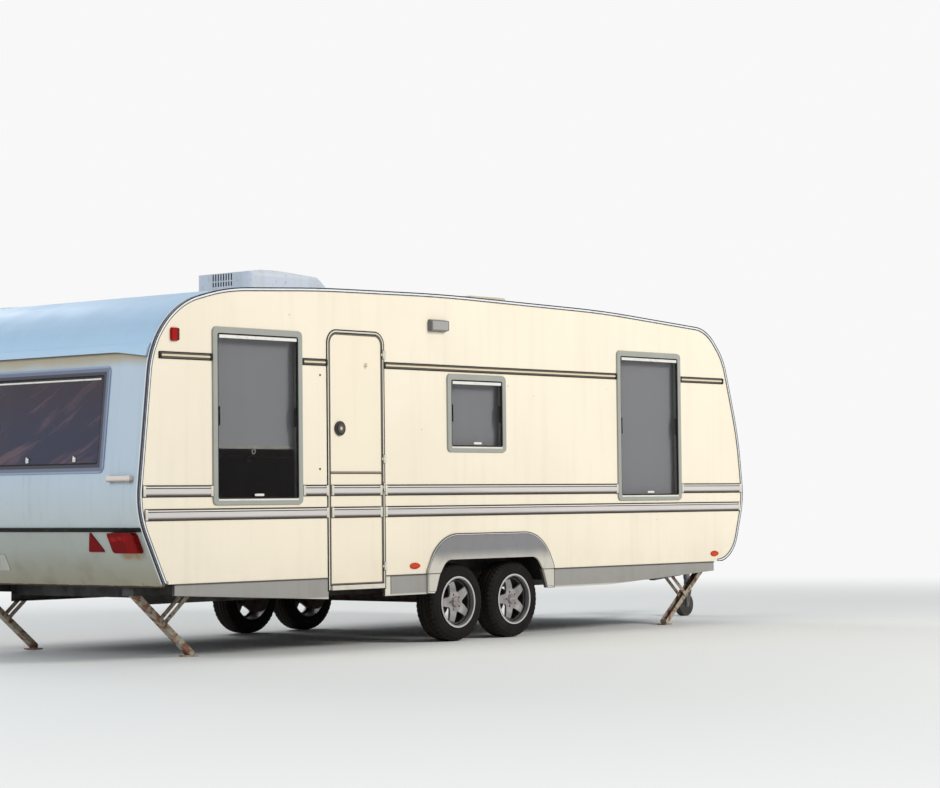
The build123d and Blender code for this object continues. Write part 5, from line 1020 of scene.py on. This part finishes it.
def make_trim_details():
    piece("moulding_caps", make_moulding_lines("mouldings", CAR), "door_trim")
    shape = bmesh.new()
    for low, high in solids("mouldings"):
        if low.z > RAIL_LOWEST:
            add_caps(shape, low, high, *RAIL_CAP)
    piece("rail_caps", shape, "black_plastic")
    caps = make_moulding_lines("door_mouldings", "door_lower")
    piece("door_moulding_caps", caps, "door_trim", "door_lower")


# Dark lines on flat trims, partly rubber seal and partly painted shadow in the gaps: node, distance of the
# face from the middle plane, and how far in the line reaches from borders that face away from the middle of
# the trim and from those that face it
BORDERS = (("edge_trims", TRIM_FACE, 0.0085, 0.0055), ("arch_trims", ARCH_STEP, 0.0065, 0.003),
           ("door_frame", DOOR_FRAME_FACE, 0.0025, 0.0035))

# How far the lines rise and start inside a border, and how far the door's seal reaches past it
BORDER_RISE = 0.0006
BORDER_INSET = 0.0004
DOOR_SEAL = 0.006


def face_outlines(node, level):
    """Closed outlines of a node's flat faces at y = level, each with its face on the inner side."""
    shape = merged(node)
    flat = [face for face in shape.faces if all(abs(vert.co.y - level) < 0.0003 for vert in face.verts)]
    inside = set(flat)
    following = {}
    for face in flat:
        for corner in face.loops:
            if not any(other is not face and other in inside for other in corner.edge.link_faces):
                following[corner.vert] = corner.link_loop_next.vert
    outlines = []
    while following:
        vert = next(iter(following))
        outline = []
        while vert in following:
            outline.append(vert.co.copy())
            vert = following.pop(vert)
        outlines.append(outline)
    shape.free()
    return outlines


def mitres(outline, out):
    """For each corner of an outline, the way that moves it one metre in from both of its edges."""
    ways = []
    for index, point in enumerate(outline):
        before = (point - outline[index - 1]).normalized()
        after = (outline[(index + 1) % len(outline)] - point).normalized()
        first, second = out.cross(before), out.cross(after)
        ways.append((first + second) / max(1.0 + first.dot(second), 0.4))
    return ways


def make_border_lines():
    for node, face, outer_width, inner_width in BORDERS:
        low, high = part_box(node)
        middle = (low + high) / 2
        shape = bmesh.new()
        for side in (-1.0, 1.0):
            out = Vector((0.0, side, 0.0))
            for outline in face_outlines(node, side * face):
                sections = []
                for point, way in zip(outline, mitres(outline, out)):
                    facing_out = way.dot(middle - point) > 0
                    reach = outer_width if facing_out else inner_width
                    start = -DOOR_SEAL if facing_out and node == "door_frame" else BORDER_INSET
                    near, far = point + way * start, point + way * reach
                    foot = Vector((0.0, side * (WALL_FACE - face), 0.0)) if start < 0 else Vector()
                    rise = out * BORDER_RISE
                    sections.append([shape.verts.new(place) for place in
                                     (near + foot, near + rise, far + rise, far + foot)])
                bridge(shape, sections)
        bmesh.ops.recalc_face_normals(shape, faces=shape.faces)
        piece(node + "_lines", shape, "seal_rubber", smooth=False)


# Fixed leaves of the door hinges: their heights, and their size along and up
HINGE_HEIGHTS = (0.588, 1.161, 1.365, 2.123)
HINGE_LEAF = (0.03, 0.062)
HINGE_THICK = 0.003


def make_hinge_leaves():
    """Pale hinge leaves on the wall beside the door, each with two screws."""
    leaves = bmesh.new()
    screws = bmesh.new()
    along = DOOR_SIDE + 0.001
    for height in HINGE_HEIGHTS:
        add_block(leaves, (along, -WALL_FACE - HINGE_THICK, height - HINGE_LEAF[1] / 2),
                  (along + HINGE_LEAF[0], -WALL_FACE, height + HINGE_LEAF[1] / 2))
        for up in (-0.018, 0.018):
            place = Vector((along + HINGE_LEAF[0] * 0.6, -WALL_FACE - HINGE_THICK, height + up))
            add_screw(screws, place, (0, -1, 0), 0.0045)
    piece("hinge_leaves", leaves, "plate_white")
    piece("hinge_screws", screws, "fitting_metal")


def make_handle_grips():
    """Rounded grips around the bars of the two grab handles at the rear."""
    shape = bmesh.new()
    for low, high in solids("grab_handles"):
        add_block(shape, (low.x, low.y + 0.012, low.z + 0.002),
                  (low.x + 0.018, high.y - 0.012, high.z - 0.002), 0.006)
    piece("grab_handle_grips", shape, "handle_ivory")


# Ledges: distance from the frame's ends, and heights over its foot. Rail in the rear window: distance
# under the pane's top, and half its height. Frames that are shorter than this along are in the end walls
LEDGE_INSET = 0.05
LEDGE_LOW = 0.031
LEDGE_TOP = 0.043
REAR_RAIL_DOWN = 0.016
REAR_RAIL_HALF = 0.006
END_FRAME_DEPTH = 0.2


def make_window_ledges():
    """Pale strips: a ledge along the foot of each side window, and a rail high inside the rear one."""
    shape = bmesh.new()
    for low, high in solids("window_frames"):
        if high.x - low.x < END_FRAME_DEPTH:
            continue
        near, far = wall_to_face(low, high, 0.001)
        add_block(shape, (low.x + LEDGE_INSET, near, low.z + LEDGE_LOW),
                  (high.x - LEDGE_INSET, far, low.z + LEDGE_TOP), 0.0015)
    pane_low, pane_high = min(solids("window_panes"), key=lambda box: box[0].x)
    height = pane_high.z - REAR_RAIL_DOWN
    face = rear_pane_face(height)
    add_block(shape, (face - REAR_RAIL_HALF, pane_low.y + 0.02, height - REAR_RAIL_HALF),
              (face + 0.001, pane_high.y - 0.02, height + REAR_RAIL_HALF), 0.002)
    piece("window_ledges", shape, "plate_white")


HOOKS_ACROSS = (-0.581, -0.089)
HOOK_HEIGHT = 1.36


def make_window_hooks():
    """Two small silver hooks low on the rear window, each a foot plate with a tongue."""
    shape = bmesh.new()
    for across in HOOKS_ACROSS:
        place = Vector((rear_pane_face(HOOK_HEIGHT), across, HOOK_HEIGHT))
        for low, high in (((-0.012, -0.013, -0.016), (0.0, 0.013, 0.016)),
                          ((-0.016, -0.005, -0.008), (-0.011, 0.005, 0.024))):
            add_block(shape, place + Vector(low), place + Vector(high), 0.002)
    piece("rear_window_hooks", shape, "fitting_metal")


def rear_pane_face(height):
    """Where the rear pane's outer face is at one height, read from its mesh."""
    points = [vert.co for vert in nodes["window_panes"].data.vertices if vert.co.x < REAR_PANE_BACK]
    points.sort(key=lambda point: point.z)
    below = [p for p in points if p.z <= height]
    above = [p for p in points if p.z > height]
    low_z, high_z = below[-1].z, above[0].z
    low_x = min(p.x for p in below if p.z > low_z - 0.004)
    high_x = min(p.x for p in above if p.z < high_z + 0.004)
    return low_x + (high_x - low_x) * (height - low_z) / (high_z - low_z)


STUDS = ((-2.36, 1.957), (-2.368, 1.291))


def make_wall_studs():
    """Two small dark studs on the right wall between the rear window and the door."""
    shape = bmesh.new()
    for along, height in STUDS:
        add_screw(shape, Vector((along, -WALL_FACE, height)), (0, -1, 0), 0.008)
    piece("wall_studs", shape, "black_plastic")


# The floor fades between these distances into a background of this level
STAGE_RADIUS = 70.0
STAGE_FADE = (6.5, 15.0)
BACKGROUND = 0.94


def make_stage():
    """A pale floor that fades to the white world far out, where it keeps no shadow."""
    shape = bmesh.new()
    bmesh.ops.create_circle(shape, cap_ends=True, radius=STAGE_RADIUS, segments=96,
                            matrix=Matrix.Translation((0, 0, -0.001)))
    paint = Paint("floor_pale", (226, 226, 224), 0.85)
    paint.grain(0.0006, 0.2, 30.0, 3.0)
    floor = add_mesh("studio_floor", shape, paint.done())
    fade = paint.ramp(paint.reach(paint.x, paint.y), *STAGE_FADE)
    white = paint.add("Emission", {"Color": (1, 1, 1, 1), "Strength": BACKGROUND})
    mixed = paint.add("MixShader", {0: fade, 1: paint.shader.outputs[0], 2: white.outputs[0]})
    paint.plug(paint.tree.nodes["Material Output"], {"Surface": mixed.outputs[0]})


def make_world():
    """Even bluish studio light, with a white background for the camera, through glass and in reflections."""
    world = bpy.data.worlds.new("studio")
    scene.world = world
    world.use_nodes = True
    tree = world.node_tree
    light = tree.nodes["Background"]
    white = tree.nodes.new("ShaderNodeBackground")
    for shader, colour, strength in ((light, SKY, SKY_LEVEL), (white, (1, 1, 1, 1), BACKGROUND)):
        shader.inputs["Color"].default_value = colour
        shader.inputs["Strength"].default_value = strength
    rays = tree.nodes.new("ShaderNodeLightPath").outputs
    sees_white = rays["Is Camera Ray"]
    for ray in ("Is Transmission Ray", "Is Glossy Ray"):
        either = tree.nodes.new("ShaderNodeMath")
        either.operation = "MAXIMUM"
        tree.links.new(sees_white, either.inputs[0])
        tree.links.new(rays[ray], either.inputs[1])
        sees_white = either.outputs[0]
    mixed = tree.nodes.new("ShaderNodeMixShader")
    for index, output in enumerate((sees_white, light.outputs[0], white.outputs[0])):
        tree.links.new(output, mixed.inputs[index])
    tree.links.new(mixed.outputs[0], tree.nodes["World Output"].inputs["Surface"])


def make_lamp(name, place, aim, size, power, colour):
    lamp = bpy.data.lights.new(name, "AREA")
    lamp.shape = "DISK"
    lamp.size = size
    lamp.energy = power
    lamp.color = colour
    made = add_object(name, lamp)
    made.location = place
    made.rotation_euler = (Vector(aim) - Vector(place)).to_track_quat("-Z", "Y").to_euler()


def make_camera():
    lens = bpy.data.cameras.new("photo_camera")
    lens.lens = CAMERA_LENS
    lens.sensor_width = 36.0
    lens.clip_start = 0.1
    lens.clip_end = 300.0
    camera = add_object("photo_camera", lens)
    camera.location = CAMERA_PLACE
    camera.rotation_euler = [math.radians(turn) for turn in CAMERA_TURN_DEGREES]
    scene.camera = camera


# The even light, and the area lamps: name, place, aim, size, power in watts, colour
SKY = (0.86, 0.93, 1.0, 1)
SKY_LEVEL = 0.45
LAMPS = (("key", (5.0, -17.0, 11.0), (-0.5, 0.0, 1.2), 7.0, 2500.0, (1.0, 0.97, 0.91)),
         ("rear_fill", (-17.0, 2.0, 8.0), (-3.0, 0.0, 1.2), 8.0, 850.0, (0.9, 0.95, 1.0)),
         ("far_fill", (3.0, 16.0, 10.0), (0.0, 0.0, 1.2), 8.0, 1000.0, (1.0, 1.0, 1.0)))


dress_nodes()
for wheel in WHEELS:
    make_tyre(wheel)
    make_wheel_bolts(wheel)
for number, (blind_low, blind_high) in enumerate(solids("blinds")):
    make_blind(number, blind_low, blind_high)
make_trim_details()
make_border_lines()
make_hinge_leaves()
make_handle_grips()
make_window_ledges()
make_window_hooks()
make_wall_studs()
make_stage()
make_camera()
make_world()
for lamp_row in LAMPS:
    make_lamp(*lamp_row)
scene.view_settings.view_transform = "Standard"
